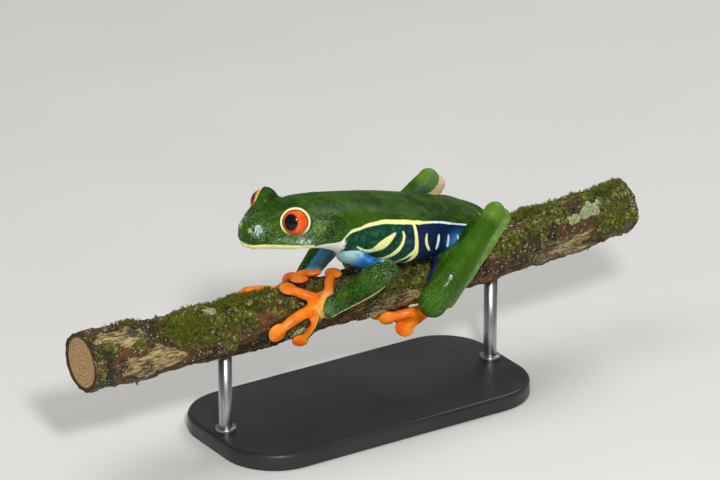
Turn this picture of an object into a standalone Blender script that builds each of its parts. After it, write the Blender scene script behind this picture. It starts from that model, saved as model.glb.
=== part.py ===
"""A red-eyed tree frog (Agalychnis callidryas), an adult female at life size, gripping a cut
length of branch that two rods hold over a flat display base.

The frog faces -Y and its left side is towards +X.  The driving sizes are in millimetres.
Points of the frog are given from the perch: X and Y as in the scene, and Z from the branch's
axis at Y = 0, which is BRANCH_HEIGHT above the floor.  The origin is on the floor, under the
middle of the base.  Neighbouring pieces meet face to face, GAP apart."""

import math
from functools import partial

import bmesh
import bpy
from mathutils import Matrix, Vector

MM = 0.001
GAP = 0.3
UP = Vector((0, 0, 1))

# The branch: a slightly bowed limb, thicker towards the frog's head.
BRANCH_HEIGHT = 30.0
BRANCH_RADIUS = 6.4
BRANCH_HALF_LENGTH = 75.0
BRANCH_SLOPE = 0.028
BRANCH_BOW = 0.00045
BRANCH_FLARE = 0.008

# The stand.
BASE_HALF_WIDTH = 20.0
BASE_HALF_LENGTH = 41.0
BASE_THICKNESS = 4.0
BASE_CORNER = 13.0
ROD_RADIUS = 1.6
ROD_SEAT = 2.5
ROD_PLACES = {"front": -37.0, "back": 37.0}

# Head and trunk along the midline: Y, half width, top, bottom, and how much narrower the
# section is at its top than at mid height.
BODY = (
    (-31.7, 1.4, 21.8, 19.0, 0.06),
    (-31.3, 2.9, 22.9, 18.7, 0.10),
    (-30.4, 4.1, 23.9, 18.5, 0.14),
    (-29.1, 5.1, 24.7, 18.4, 0.18),
    (-26.8, 6.5, 25.4, 18.2, 0.24),
    (-23.0, 8.3, 26.3, 17.8, 0.30),
    (-19.0, 9.7, 27.0, 17.4, 0.28),
    (-14.0, 10.1, 27.0, 16.0, 0.20),
    (-8.0, 9.6, 26.2, 12.9, 0.12),
    (0.0, 10.6, 24.6, 9.2, 0.08),
    (8.0, 11.7, 22.6, 7.2, 0.06),
    (16.0, 11.2, 20.4, 7.1, 0.06),
    (23.0, 9.2, 18.4, 7.8, 0.04),
    (29.0, 6.3, 16.3, 8.8, 0.00),
    (33.0, 3.4, 14.4, 9.9, 0.00),
    (34.6, 0.5, 12.9, 11.3, 0.00),
)
BODY_SQUARENESS = 2.3
NECK_Y = -12.5
MOUTH_Z = 19.5
JAW_BACK_Y = -18.8

# Eyes: a ball that stands out of the side of the head, under a lid that is open forwards.
EYE_CENTRE = Vector((6.8, -21.9, 25.25))
EYE_RADIUS = 3.2
LID_RADIUS = 3.6
EYE_AZIMUTH = math.radians(55.0)
EYE_ELEVATION = math.radians(11.0)
LID_OPENING = 1.2

# Limbs: their joints for the left side (+X) and the right side (-X).
ARMS = {
    "left": {"shoulder": (6.5, -8.5, 13.9), "elbow": (14.3, -1.7, 11.1), "wrist": (9.4, -14.7, 2.8)},
    "right": {"shoulder": (-6.5, -8.5, 13.9), "elbow": (-12.4, 2.2, 10.0), "wrist": (-9.4, -10.4, 1.6)},
}
LEGS = {
    "left": {
        "hip": (5.2, 26.5, 12.2),
        "knee": (15.0, 10.4, 0.3),
        "heel": (13.0, 28.9, 18.2),
        "ankle": (12.8, 31.0, 16.4),
        "instep": (11.5, 17.2, -2.2),
        "toe_base": (9.2, 12.6, -4.0),
    },
    "right": {
        "hip": (-5.2, 26.5, 12.2),
        "knee": (-15.2, 8.8, 1.0),
        "heel": (-13.0, 27.7, 18.0),
        "ankle": (-12.8, 29.8, 16.2),
        "instep": (-11.5, 15.8, -1.8),
        "toe_base": (-9.2, 11.4, -3.6),
    },
}

# Radii along each limb, at even steps from its upper joint to its lower one.
UPPER_ARM_RADII = (2.0, 1.8, 1.75, 1.95)
FOREARM_RADII = (2.3, 3.0, 2.85, 2.45, 2.05)
THIGH_RADII = (3.9, 4.2, 3.6, 2.8)
SHANK_RADII = (3.5, 3.7, 3.1, 2.6, 2.4)
TARSUS_RADII = (2.1, 1.7, 1.5)
FOOT_RADII = (1.6, 2.0, 2.2)
PALM_RADII = (1.7, 2.2, 2.4)
FLATNESS = 0.68

# Digits lie on the branch.  Each place is Y, the angle round the branch from its top towards
# +X in degrees, and the height over the bark; the last place is the middle of the disc.
HANDS = {
    "left": {
        "palm": (-16.0, 66, 2.3),
        "digits": (
            ((-13.4, 52, 2.6), (-11.0, 29, 1.6), (-7.9, 6, 0.75)),
            ((-17.0, 52, 2.0), (-19.4, 36, 1.5), (-21.0, 16, 0.8)),
            ((-18.6, 69, 1.9), (-22.4, 76, 1.3), (-27.2, 96, 0.75)),
            ((-17.4, 90, 1.9), (-18.6, 112, 1.3), (-19.6, 138, 0.9)),
        ),
    },
    "right": {
        "palm": (-13.6, -76, 2.1),
        "digits": (
            ((-13.4, -56, 1.8), (-12.2, -40, 1.3), (-11.2, -23, 0.75)),
            ((-15.9, -52, 1.7), (-16.2, -30, 1.2), (-16.3, -6, 0.75)),
            ((-18.0, -77, 1.5), (-23.4, -57, 1.1), (-28.8, -30, 0.75)),
            ((-16.8, -96, 1.4), (-19.8, -116, 1.0), (-22.6, -134, 0.75)),
        ),
    },
}
FEET = {
    "left": (
        ((11.4, 138, 2.6), (9.9, 151, 1.7), (8.6, 163, 0.75)),
        ((10.6, 142, 2.6), (7.6, 159, 1.6), (4.5, 177, 0.75)),
        ((10.4, 127, 2.4), (7.6, 135, 1.7), (4.7, 145, 1.3)),
        ((12.2, 150, 2.6), (11.9, 168, 1.7), (11.6, 182, 0.75)),
        ((12.2, 138, 3.5), (11.0, 148, 4.0), (9.5, 155, 4.6)),
    ),
    "right": (
        ((9.6, -116, 1.8), (8.4, -124, 1.2), (7.0, -131, 0.75)),
        ((8.6, -122, 2.0), (6.0, -129, 1.3), (3.2, -136, 0.75)),
        ((8.8, -131, 2.2), (4.0, -134, 1.4), (-1.8, -138, 0.75)),
        ((9.8, -140, 2.3), (5.8, -152, 1.4), (1.2, -161, 0.75)),
        ((11.8, -132, 2.3), (12.8, -141, 1.5), (14.0, -150, 0.75)),
    ),
}
DIGIT_START = 0.45
FINGER_RADII = (1.45, 1.3, 1.15, 0.95)
FINGER_WIDTHS = (0.92, 1.0, 1.05, 0.76)
TOE_RADII = (1.3, 1.2, 1.1, 0.95)
FINGER_DISCS = (2.0, 2.1, 2.25, 1.9)
TOE_DISCS = (1.4, 1.6, 2.0, 2.0, 2.25)
DISC_HALF_THICKNESS = 0.8
DISC_SIDES = 9
# Discs that don't lie flat on the bark, and which way they face.
TURNED_DISCS = {
    "finger_left_4": (0.75, -0.40, -0.45),
    "toe_left_3": (0.75, -0.35, -0.30),
    "toe_left_5": (0.80, -0.55, 0.15),
}

GREEN = (0.030, 0.125, 0.008)
ORANGE = (0.95, 0.20, 0.01)
BLUE = (0.02, 0.07, 0.38)
RED = (0.75, 0.04, 0.005)
BARK = (0.07, 0.04, 0.015)
BLACK = (0.02, 0.02, 0.022)
STEEL = (0.55, 0.56, 0.58)


def clear_scene():
    for thing in list(bpy.data.objects):
        bpy.data.objects.remove(thing)


def collection(name):
    made = bpy.data.collections.new(name)
    bpy.context.scene.collection.children.link(made)
    return made


def material(name, colour, roughness, metallic=0.0):
    made = bpy.data.materials.new(name)
    made.use_nodes = True
    shader = made.node_tree.nodes["Principled BSDF"]
    shader.inputs["Base Color"].default_value = (*colour, 1.0)
    shader.inputs["Roughness"].default_value = roughness
    shader.inputs["Metallic"].default_value = metallic
    return made


def through(points, step):
    """A smooth curve through rows of numbers, read at step from 0 to the last row's index."""
    last = len(points) - 1
    i = min(int(step), last - 1)
    t = step - i
    before, a, b, after = (points[max(0, min(last, i + k))] for k in (-1, 0, 1, 2))
    return [
        0.5 * (2 * q + (r - p) * t + (2 * p - 5 * q + 4 * r - s) * t**2 + (3 * q - p - 3 * r + s) * t**3)
        for p, q, r, s in zip(before, a, b, after)
    ]


def axis_z(y):
    """Height of the branch's axis at y."""
    return BRANCH_SLOPE * y + BRANCH_BOW * y * y


def on_branch(y, degrees, height=0.0):
    """A point over the bark: degrees go round from the top of the branch towards +X."""
    angle = math.radians(degrees)
    reach = BRANCH_RADIUS + height
    return Vector((reach * math.sin(angle), y, axis_z(y) + reach * math.cos(angle)))


def outwards(degrees):
    angle = math.radians(degrees)
    return Vector((math.sin(angle), 0, math.cos(angle)))


def mesh_object(name, shape, group, finish):
    """An object from a bmesh in millimetres over the perch."""
    shape.transform(Matrix.Scale(MM, 4) @ Matrix.Translation((0, 0, BRANCH_HEIGHT)))
    bmesh.ops.recalc_face_normals(shape, faces=shape.faces)
    data = bpy.data.meshes.new(name)
    shape.to_mesh(data)
    shape.free()
    made = bpy.data.objects.new(name, data)
    group.objects.link(made)
    data.materials.append(finish)
    data.shade_smooth()
    data.set_sharp_from_angle(angle=math.radians(50))
    return made


def skin_rings(rings):
    """A closed bmesh over rings of equally many points, with a flat fan at each end."""
    shape = bmesh.new()
    loops = [[shape.verts.new(point) for point in ring] for ring in rings]
    for first, second in zip(loops, loops[1:]):
        for i in range(len(first)):
            j = (i + 1) % len(first)
            shape.faces.new((first[i], first[j], second[j], second[i]))
    for loop in (loops[0], loops[-1]):
        middle = shape.verts.new(sum((v.co for v in loop), Vector()) / len(loop))
        for i in range(len(loop)):
            shape.faces.new((loop[i], loop[(i + 1) % len(loop)], middle))
    return shape


def body_ring(station, sides, grow):
    """One section of head or trunk, a squared oval that narrows towards its top."""
    y, half_width, top, bottom, taper = station
    half_width, top, bottom = half_width + grow, top + grow, bottom - grow
    ring = []
    for i in range(sides):
        angle = math.tau * (i + 0.5) / sides
        across, rise = math.cos(angle), math.sin(angle)
        power = 2 / BODY_SQUARENESS
        x = math.copysign(abs(across) ** power, across)
        z = math.copysign(abs(rise) ** power, rise)
        ring.append((half_width * (1 - taper * z) * x, y, (top + bottom) / 2 + (top - bottom) / 2 * z))
    return ring


def body_shape(grow=0.0, sides=16, steps_between=2):
    """Head and trunk in one."""
    count = (len(BODY) - 1) * steps_between
    stations = [through(BODY, k / steps_between) for k in range(count + 1)]
    return skin_rings([body_ring(station, sides, grow) for station in stations])


def limb_shape(grow, path, radii, sides, steps_between=1, flat_along=None, flatness=1.0):
    """A tapered tube with round ends; flatness thins it along flat_along."""
    rows = [(*point, radius + grow) for point, radius in zip(path, radii)]
    count = (len(rows) - 1) * steps_between
    line = [through(rows, k / steps_between) for k in range(count + 1)]
    centres = [Vector(row[:3]) for row in line]
    sizes = [row[3] for row in line]
    ways = [(centres[min(k + 1, count)] - centres[max(k - 1, 0)]).normalized() for k in range(count + 1)]
    stations = list(zip(centres, sizes, ways))
    rounding = [math.radians(a) for a in (35, 70)]
    start = [
        (centres[0] - ways[0] * sizes[0] * math.sin(a), sizes[0] * math.cos(a), ways[0])
        for a in reversed(rounding)
    ]
    end = [
        (centres[-1] + ways[-1] * sizes[-1] * math.sin(a), sizes[-1] * math.cos(a), ways[-1])
        for a in rounding
    ]
    first_way = start[0][2]
    lean = flat_along or (UP if abs(first_way.z) < 0.8 else Vector((1, 0, 0)))
    side = first_way.cross(lean)
    rings = []
    for centre, size, way in start + stations + end:
        side = (side - way * side.dot(way)).normalized()
        thin = side.cross(way).normalized() * flatness
        turns = [math.tau * i / sides for i in range(sides)]
        rings.append([centre + size * (side * math.cos(a) + thin * math.sin(a)) for a in turns])
    return skin_rings(rings)


def ball_shape(grow, centre, radii, turn, sides, rows):
    """A sphere, stretched to radii along its own axes and turned by a matrix."""
    shape = bmesh.new()
    bmesh.ops.create_uvsphere(shape, u_segments=sides, v_segments=rows, radius=1.0)
    sizes = [radius + grow for radius in radii]
    shape.transform(turn.to_4x4() @ Matrix.Diagonal((*sizes, 1.0)))
    bmesh.ops.translate(shape, verts=shape.verts, vec=centre)
    return shape


def box_shape(low, high):
    shape = bmesh.new()
    bmesh.ops.create_cube(shape, size=1.0)
    size = Vector(high) - Vector(low)
    shape.transform(Matrix.Translation((Vector(low) + Vector(high)) / 2) @ Matrix.Diagonal((*size, 1.0)))
    return shape


def facing(normal, along):
    """The turn that puts local Z on normal, and local Y as near as can be to along."""
    z = normal.normalized()
    x = along.cross(z).normalized()
    return Matrix((x, z.cross(x), z)).transposed()


def helper(shape, name="cutter"):
    """A mesh used only as a cutter or as one half of a join."""
    made = mesh_object(name, shape, bpy.data.collections["cutters"], bpy.data.materials["green_skin"])
    made.hide_render = True
    made.display_type = "WIRE"
    return made


def combine(target, other, operation):
    """Applies one Boolean to target and removes the other object.

    The solver is MANIFOLD, because EXACT drops some of the thin fingers and toes altogether."""
    step = target.modifiers.new(operation.lower(), "BOOLEAN")
    step.operation = operation
    step.solver = "MANIFOLD"
    step.object = other
    graph = bpy.context.evaluated_depsgraph_get()
    result = bpy.data.meshes.new_from_object(target.evaluated_get(graph))
    target.modifiers.clear()
    target.data = result
    bpy.data.objects.remove(other)
    return target


def keep_largest(thing):
    """Drops the crumbs that a cut may leave beside the main body."""
    shape = bmesh.new()
    shape.from_mesh(thing.data)
    shape.normal_update()
    left = set(shape.verts)
    islands = []
    while left:
        front = [left.pop()]
        island = set(front)
        while front:
            for edge in front.pop().link_edges:
                for vert in edge.verts:
                    if vert in left:
                        left.discard(vert)
                        island.add(vert)
                        front.append(vert)
        islands.append(island)

    def volume(island):
        faces = {face for vert in island for face in vert.link_faces}
        return sum(face.calc_center_median().dot(face.normal) * face.calc_area() for face in faces)

    biggest = max(islands, key=volume)
    crumbs = [vert for vert in shape.verts if vert not in biggest]
    bmesh.ops.delete(shape, geom=crumbs, context="VERTS")
    shape.to_mesh(thing.data)
    shape.free()


def box_of(thing):
    points = [vert.co for vert in thing.data.vertices]
    return [(min(p[k] for p in points), max(p[k] for p in points)) for k in range(3)]


def clear_of(thing, *neighbours):
    """Cuts thing back to GAP from each neighbour that it would touch.

    A neighbour is a list of functions, each of which makes one of its shapes grown by a margin."""
    for neighbour in neighbours:
        for grown in neighbour:
            cutter = helper(grown(GAP))
            if all(a[0] < b[1] and b[0] < a[1] for a, b in zip(box_of(thing), box_of(cutter))):
                combine(thing, cutter, "DIFFERENCE")
                keep_largest(thing)
            else:
                bpy.data.objects.remove(cutter)


def branch_shape(grow=0.0):
    """The perch: a bowed, knotty round limb with sawn ends."""
    sides, stations = 14, 17
    rings = []
    for k in range(stations + 1):
        y = BRANCH_HALF_LENGTH * (2 * k / stations - 1)
        swell = 0.25 * math.sin(y * 0.16) + 0.2 * math.sin(y * 0.41 + 1.0)
        ring = []
        for i in range(sides):
            angle = math.tau * i / sides
            knot = 0.18 * math.sin(3 * angle + y * 0.21) + 0.12 * math.sin(5 * angle - y * 0.33)
            reach = BRANCH_RADIUS + grow + min(0.0, swell + knot - 0.25) + BRANCH_FLARE * abs(y)
            ring.append((reach * math.sin(angle), y, axis_z(y) + reach * math.cos(angle)))
        rings.append(ring)
    return skin_rings(rings)


def rod_shape(y, grow=0.0):
    """A rod seated in the base and in the underside of the branch."""
    foot = BASE_THICKNESS - ROD_SEAT - grow
    head = BRANCH_HEIGHT + axis_z(y) - BRANCH_RADIUS + ROD_SEAT + grow
    shape = bmesh.new()
    bmesh.ops.create_cone(
        shape,
        cap_ends=True,
        segments=16,
        radius1=ROD_RADIUS + grow,
        radius2=ROD_RADIUS + grow,
        depth=head - foot,
    )
    bmesh.ops.translate(shape, verts=shape.verts, vec=(0, y, (head + foot) / 2 - BRANCH_HEIGHT))
    return shape


def base_shape():
    """A flat plate with rounded corners and an eased upper rim."""
    low = (-BASE_HALF_WIDTH, -BASE_HALF_LENGTH, -BRANCH_HEIGHT)
    shape = box_shape(low, (BASE_HALF_WIDTH, BASE_HALF_LENGTH, BASE_THICKNESS - BRANCH_HEIGHT))
    uprights = [e for e in shape.edges if abs(e.verts[0].co.z - e.verts[1].co.z) > BASE_THICKNESS / 2]
    bmesh.ops.bevel(shape, geom=uprights, offset=BASE_CORNER, segments=6, affect="EDGES", profile=0.5)
    high = BASE_THICKNESS - BRANCH_HEIGHT - 0.1
    rim = [e for e in shape.edges if all(v.co.z > high for v in e.verts)]
    bmesh.ops.bevel(shape, geom=rim, offset=0.8, segments=2, affect="EDGES", profile=0.5)
    return shape


def make_stand(group, branch, black, steel):
    base = mesh_object("stand_base", base_shape(), group, black)
    for place, y in ROD_PLACES.items():
        mesh_object("stand_rod_" + place, rod_shape(y), group, steel)
        clear_of(base, [partial(rod_shape, y)])
        clear_of(branch, [partial(rod_shape, y)])


def gaze_turn(sign):
    """The turn that puts local Z along the middle of an eye's gaze."""
    flat = math.cos(EYE_ELEVATION)
    level = Vector((sign * math.sin(EYE_AZIMUTH), -math.cos(EYE_AZIMUTH), 0)) * flat
    gaze = level + UP * math.sin(EYE_ELEVATION)
    return facing(gaze, UP)


def make_head_and_trunk(group, skin, iris):
    """The trunk, the head with its lids, the lower jaw and the eyeballs."""
    far = 60.0
    trunk = mesh_object("trunk", body_shape(), group, skin)
    combine(trunk, helper(box_shape((-far, NECK_Y + GAP / 2, -far), (far, far, far))), "INTERSECT")
    head = mesh_object("head", body_shape(sides=18), group, skin)
    eyes = []
    for side, sign in (("left", 1), ("right", -1)):
        centre = Vector((sign * EYE_CENTRE.x, EYE_CENTRE.y, EYE_CENTRE.z))
        turn = gaze_turn(sign)
        lid = helper(ball_shape(0.0, centre, (LID_RADIUS,) * 3, turn, 12, 8))
        beyond = box_shape((-far, -far, LID_OPENING), (far, far, far))
        beyond.transform(Matrix.Translation(centre) @ turn.to_4x4())
        combine(lid, helper(beyond), "DIFFERENCE")
        combine(head, lid, "UNION")
        radii = (EYE_RADIUS,) * 3
        eyes.append(partial(ball_shape, centre=centre, radii=radii, turn=turn, sides=12, rows=8))
        mesh_object("eye_" + side, eyes[-1](0.0), group, iris)
    combine(head, helper(box_shape((-far, -far, -far), (far, NECK_Y - GAP / 2, far))), "INTERSECT")
    clear_of(head, eyes)
    jaw = mesh_object("lower_jaw", body_shape(sides=18), group, skin)
    jaw_room = (-far, -far, -far), (far, JAW_BACK_Y - GAP / 2, MOUTH_Z - GAP / 2)
    combine(jaw, helper(box_shape(*jaw_room)), "INTERSECT")
    cut_back = (-far, -far, -far), (far, JAW_BACK_Y + GAP / 2, MOUTH_Z + GAP / 2)
    combine(head, helper(box_shape(*cut_back)), "DIFFERENCE")
    for piece in (trunk, head, jaw):
        keep_largest(piece)
    return trunk


def between(a, b, count):
    """count places spread evenly from a to b."""
    return [Vector(a).lerp(Vector(b), k / (count - 1)) for k in range(count)]


def digit_shapes(name, start, places, radii, disc):
    """A finger or toe: a tapered shaft from start over the bark, and a round disc at its tip."""
    path = [on_branch(*place) for place in places]
    path.insert(0, start.lerp(path[0], DIGIT_START))
    normal = Vector(TURNED_DISCS.get(name, outwards(places[-1][1])))
    turn = facing(normal, path[-1] - path[-2])
    shaft = partial(limb_shape, path=path, radii=radii, sides=6)
    pad = partial(
        ball_shape,
        centre=path[-1],
        radii=(disc, disc, DISC_HALF_THICKNESS),
        turn=turn,
        sides=DISC_SIDES,
        rows=4,
    )
    return [shaft, pad]


def make_piece(name, shapes, neighbours, group, skin):
    """One node: the union of its shapes, cut back from its neighbours."""
    piece = mesh_object(name, shapes[0](0.0), group, skin)
    for shape in shapes[1:]:
        combine(piece, helper(shape(0.0)), "UNION")
    clear_of(piece, *neighbours)
    return shapes


def make_arm(side, group, body, perch, blue, green, orange, others):
    shoulder, elbow, wrist = (Vector(ARMS[side][joint]) for joint in ("shoulder", "elbow", "wrist"))
    palm_place = HANDS[side]["palm"]
    palm_centre = on_branch(*palm_place)
    forearm = make_piece(
        "forearm_" + side,
        [partial(limb_shape, path=between(elbow, wrist, 5), radii=FOREARM_RADII, sides=10)],
        [body, perch],
        group,
        green,
    )
    upper = make_piece(
        "upper_arm_" + side,
        [partial(limb_shape, path=between(shoulder, elbow, 4), radii=UPPER_ARM_RADII, sides=10)],
        [forearm, body],
        group,
        blue,
    )
    palm = make_piece(
        "palm_" + side,
        [
            partial(
                limb_shape,
                path=between(wrist, palm_centre, 3),
                radii=PALM_RADII,
                sides=10,
                flat_along=outwards(palm_place[1]),
                flatness=FLATNESS,
            )
        ],
        [forearm, perch],
        group,
        orange,
    )
    made = [upper, forearm, palm]
    for number, places in enumerate(HANDS[side]["digits"], start=1):
        name = f"finger_{side}_{number}"
        radii = [FINGER_WIDTHS[number - 1] * r for r in FINGER_RADII]
        shapes = digit_shapes(name, palm_centre, places, radii, FINGER_DISCS[number - 1])
        made.append(make_piece(name, shapes, [perch, *others, *made], group, orange))
    return made


def make_leg(side, group, body, perch, green, orange, arms, others):
    hip, knee, heel, ankle, instep, toe_base = (Vector(place) for place in LEGS[side].values())
    shank = make_piece(
        "shank_" + side,
        [partial(limb_shape, path=between(knee, heel, 5), radii=SHANK_RADII, sides=10)],
        [body, perch, *arms],
        group,
        green,
    )
    thigh = make_piece(
        "thigh_" + side,
        [partial(limb_shape, path=between(hip, knee, 4), radii=THIGH_RADII, sides=10)],
        [shank, body, perch, *arms],
        group,
        green,
    )
    tarsus = make_piece(
        "tarsus_" + side,
        [partial(limb_shape, path=between(ankle, instep, 3), radii=TARSUS_RADII, sides=10)],
        [shank, thigh, body, perch],
        group,
        green,
    )
    foot = make_piece(
        "foot_" + side,
        [
            partial(
                limb_shape,
                path=between(instep, toe_base, 3),
                radii=FOOT_RADII,
                sides=10,
                flat_along=outwards(110 if side == "left" else -110),
                flatness=FLATNESS,
            )
        ],
        [tarsus, shank, thigh, perch],
        group,
        orange,
    )
    made = [thigh, shank, tarsus, foot]
    for number, places in enumerate(FEET[side], start=1):
        name = f"toe_{side}_{number}"
        shapes = digit_shapes(name, toe_base, places, TOE_RADII, TOE_DISCS[number - 1])
        made.append(make_piece(name, shapes, [perch, *others, *made], group, orange))
    return made


def build():
    clear_scene()
    frog = collection("tree_frog_on_branch")
    collection("cutters")
    green = material("green_skin", GREEN, 0.35)
    orange = material("orange_skin", ORANGE, 0.35)
    blue = material("blue_skin", BLUE, 0.35)
    iris = material("red_eye", RED, 0.05)
    bark = material("mossy_bark", BARK, 0.8)
    black = material("black_paint", BLACK, 0.45)
    steel = material("brushed_steel", STEEL, 0.3, 1.0)

    branch = mesh_object("branch", branch_shape(), frog, bark)
    trunk = make_head_and_trunk(frog, green, iris)
    body = [body_shape]
    perch = [branch_shape]
    clear_of(trunk, perch)
    arms = []
    for side in ("left", "right"):
        arms += make_arm(side, frog, body, perch, blue, green, orange, arms)
    legs = []
    for side in ("left", "right"):
        legs += make_leg(side, frog, body, perch, green, orange, arms, legs)
    make_stand(frog, branch, black, steel)


build()
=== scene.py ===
"""The looks of a red-eyed tree frog that grips a mossy branch over a display stand.

One skin is grown over all the frog's flesh from a smooth distance field on a fine grid, so that
no seam shows. The field has the same joints and sizes as the solids.  Points of the frog are in
millimetres over the perch: Z is measured from the branch's axis at Y = 0."""

import math

import bmesh
import bpy
import numpy as np
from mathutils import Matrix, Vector


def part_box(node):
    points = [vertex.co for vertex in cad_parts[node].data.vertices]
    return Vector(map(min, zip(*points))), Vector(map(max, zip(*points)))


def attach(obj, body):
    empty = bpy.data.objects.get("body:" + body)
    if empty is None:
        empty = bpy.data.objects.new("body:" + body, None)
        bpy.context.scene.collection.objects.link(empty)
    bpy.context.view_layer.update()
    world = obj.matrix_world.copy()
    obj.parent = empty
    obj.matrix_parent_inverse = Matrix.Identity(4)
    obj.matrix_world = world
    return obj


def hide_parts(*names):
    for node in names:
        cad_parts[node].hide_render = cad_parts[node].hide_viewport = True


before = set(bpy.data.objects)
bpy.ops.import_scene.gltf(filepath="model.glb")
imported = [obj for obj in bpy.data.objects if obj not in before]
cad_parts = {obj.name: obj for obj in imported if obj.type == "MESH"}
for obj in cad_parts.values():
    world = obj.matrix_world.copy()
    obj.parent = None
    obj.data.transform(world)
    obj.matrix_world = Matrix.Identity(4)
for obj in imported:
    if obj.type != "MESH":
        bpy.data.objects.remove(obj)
for startup in [o for o in bpy.data.objects if o.type in ("MESH", "LIGHT", "CAMERA")]:
    if startup.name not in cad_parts:
        bpy.data.objects.remove(startup)
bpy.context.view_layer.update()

MM = 0.001
SIGNS = {"left": 1, "right": -1}
FINE = 0.18

# ---------------------------------------------------------------- sizes, most shared with the solids
BRANCH_HEIGHT = 30.0
BRANCH_RADIUS = 6.4
BRANCH_HALF_LENGTH = 75.0
BRANCH_SLOPE = 0.028
BRANCH_BOW = 0.00045
BRANCH_FLARE = 0.008

# Head and trunk: Y, half width, top, bottom, and how much narrower the section is at its top.
BODY = np.array(
    [
        (-31.7, 1.4, 21.8, 19.0, 0.06),
        (-31.3, 2.9, 22.9, 18.7, 0.10),
        (-30.4, 4.1, 23.9, 18.5, 0.14),
        (-29.1, 5.1, 24.7, 18.4, 0.18),
        (-26.8, 6.5, 25.4, 18.2, 0.24),
        (-23.0, 8.3, 26.3, 17.8, 0.30),
        (-19.0, 9.7, 27.0, 17.4, 0.28),
        (-14.0, 10.1, 27.0, 16.0, 0.20),
        (-8.0, 9.6, 26.2, 12.9, 0.12),
        (0.0, 10.6, 24.6, 9.2, 0.08),
        (8.0, 11.7, 22.6, 7.2, 0.06),
        (16.0, 11.2, 20.4, 7.1, 0.06),
        (23.0, 9.2, 18.4, 7.8, 0.04),
        (29.0, 6.3, 16.3, 8.8, 0.00),
        (33.0, 3.4, 14.4, 9.9, 0.00),
        (34.6, 0.8, 12.9, 11.3, 0.00),
    ]
)
BODY_SQUARENESS = 2.3

EYE_AZIMUTH = math.radians(55.0)
EYE_ELEVATION = math.radians(11.0)
PUPIL_AZIMUTH = math.radians(34.0)
PUPIL_ELEVATION = math.radians(15.0)
PUPIL_HALF_WIDTH = 1.62
PUPIL_HALF_HEIGHT = 1.88
LID_RADIUS = 3.55
LID_OPENING = 1.0
RIM_RADIUS = 3.24
SOCKET_RADIUS = 3.75
# Ridges of the head's left side: over the eye towards the snout, and behind the eye.
BROW = ((2.2, -30.0, 23.0), (3.9, -27.6, 24.0), (5.2, -25.2, 24.9))
EAR_FOLD = ((7.8, -19.6, 24.6), (8.9, -16.4, 24.4), (9.5, -13.6, 22.0))

ARMS = {
    "left": {"shoulder": (6.5, -8.5, 13.9), "elbow": (14.3, -1.7, 11.1), "wrist": (9.4, -14.7, 2.8)},
    "right": {"shoulder": (-6.5, -8.5, 13.9), "elbow": (-12.4, 2.2, 10.0), "wrist": (-9.4, -10.4, 1.6)},
}
LEGS = {
    "left": {
        "hip": (5.2, 26.5, 12.2),
        "knee": (15.0, 10.4, 0.3),
        "heel": (13.0, 28.9, 18.2),
        "ankle": (12.8, 31.0, 16.4),
        "instep": (11.5, 17.2, -2.2),
        "toe_base": (9.2, 12.6, -4.0),
    },
    "right": {
        "hip": (-5.2, 26.5, 12.2),
        "knee": (-15.2, 8.8, 1.0),
        "heel": (-13.0, 27.7, 18.0),
        "ankle": (-12.8, 29.8, 16.2),
        "instep": (-11.5, 15.8, -1.8),
        "toe_base": (-9.2, 11.4, -3.6),
    },
}
UPPER_ARM_RADII = (2.0, 1.8, 1.75, 1.95)
FOREARM_RADII = (2.3, 3.0, 2.85, 2.45, 2.05)
THIGH_RADII = (3.9, 4.2, 3.6, 2.8)
SHANK_RADII = (3.5, 3.7, 3.1, 2.6, 2.4)
TARSUS_RADII = (2.1, 1.7, 1.5)
FOOT_RADII = (1.6, 2.0, 2.2)
PALM_RADII = (1.7, 2.2, 2.4)
FLATNESS = 0.68
HEEL_RADIUS = 2.3
WEB_RADIUS = 0.42
# How softly each kind of piece blends with what it grows from.
FILLETS = {"upper_arm": 1.4, "forearm": 1.0, "palm": 1.2, "finger": 0.7}
FILLETS |= {"thigh": 2.0, "shank": 0.45, "tarsus": 0.35, "foot": 1.0, "toe": 0.6}

# Digits: Y, degrees round the branch from its top towards +X, and height over the bark.
HANDS = {
    "left": {
        "palm": (-16.0, 66, 2.3),
        "digits": (
            ((-13.4, 52, 2.6), (-11.0, 29, 1.6), (-7.9, 6, 0.75)),
            ((-17.0, 52, 2.0), (-19.4, 36, 1.5), (-21.0, 16, 0.8)),
            ((-18.6, 69, 1.9), (-22.4, 76, 1.3), (-27.2, 96, 0.75)),
            ((-17.4, 90, 1.9), (-18.6, 112, 1.3), (-19.6, 138, 0.9)),
        ),
    },
    "right": {
        "palm": (-13.6, -76, 2.1),
        "digits": (
            ((-13.4, -56, 1.8), (-12.2, -40, 1.3), (-11.2, -23, 0.75)),
            ((-15.9, -52, 1.7), (-16.2, -30, 1.2), (-16.3, -6, 0.75)),
            ((-18.0, -77, 1.5), (-23.4, -57, 1.1), (-28.8, -30, 0.75)),
            ((-16.8, -96, 1.4), (-19.8, -116, 1.0), (-22.6, -134, 0.75)),
        ),
    },
}
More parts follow.
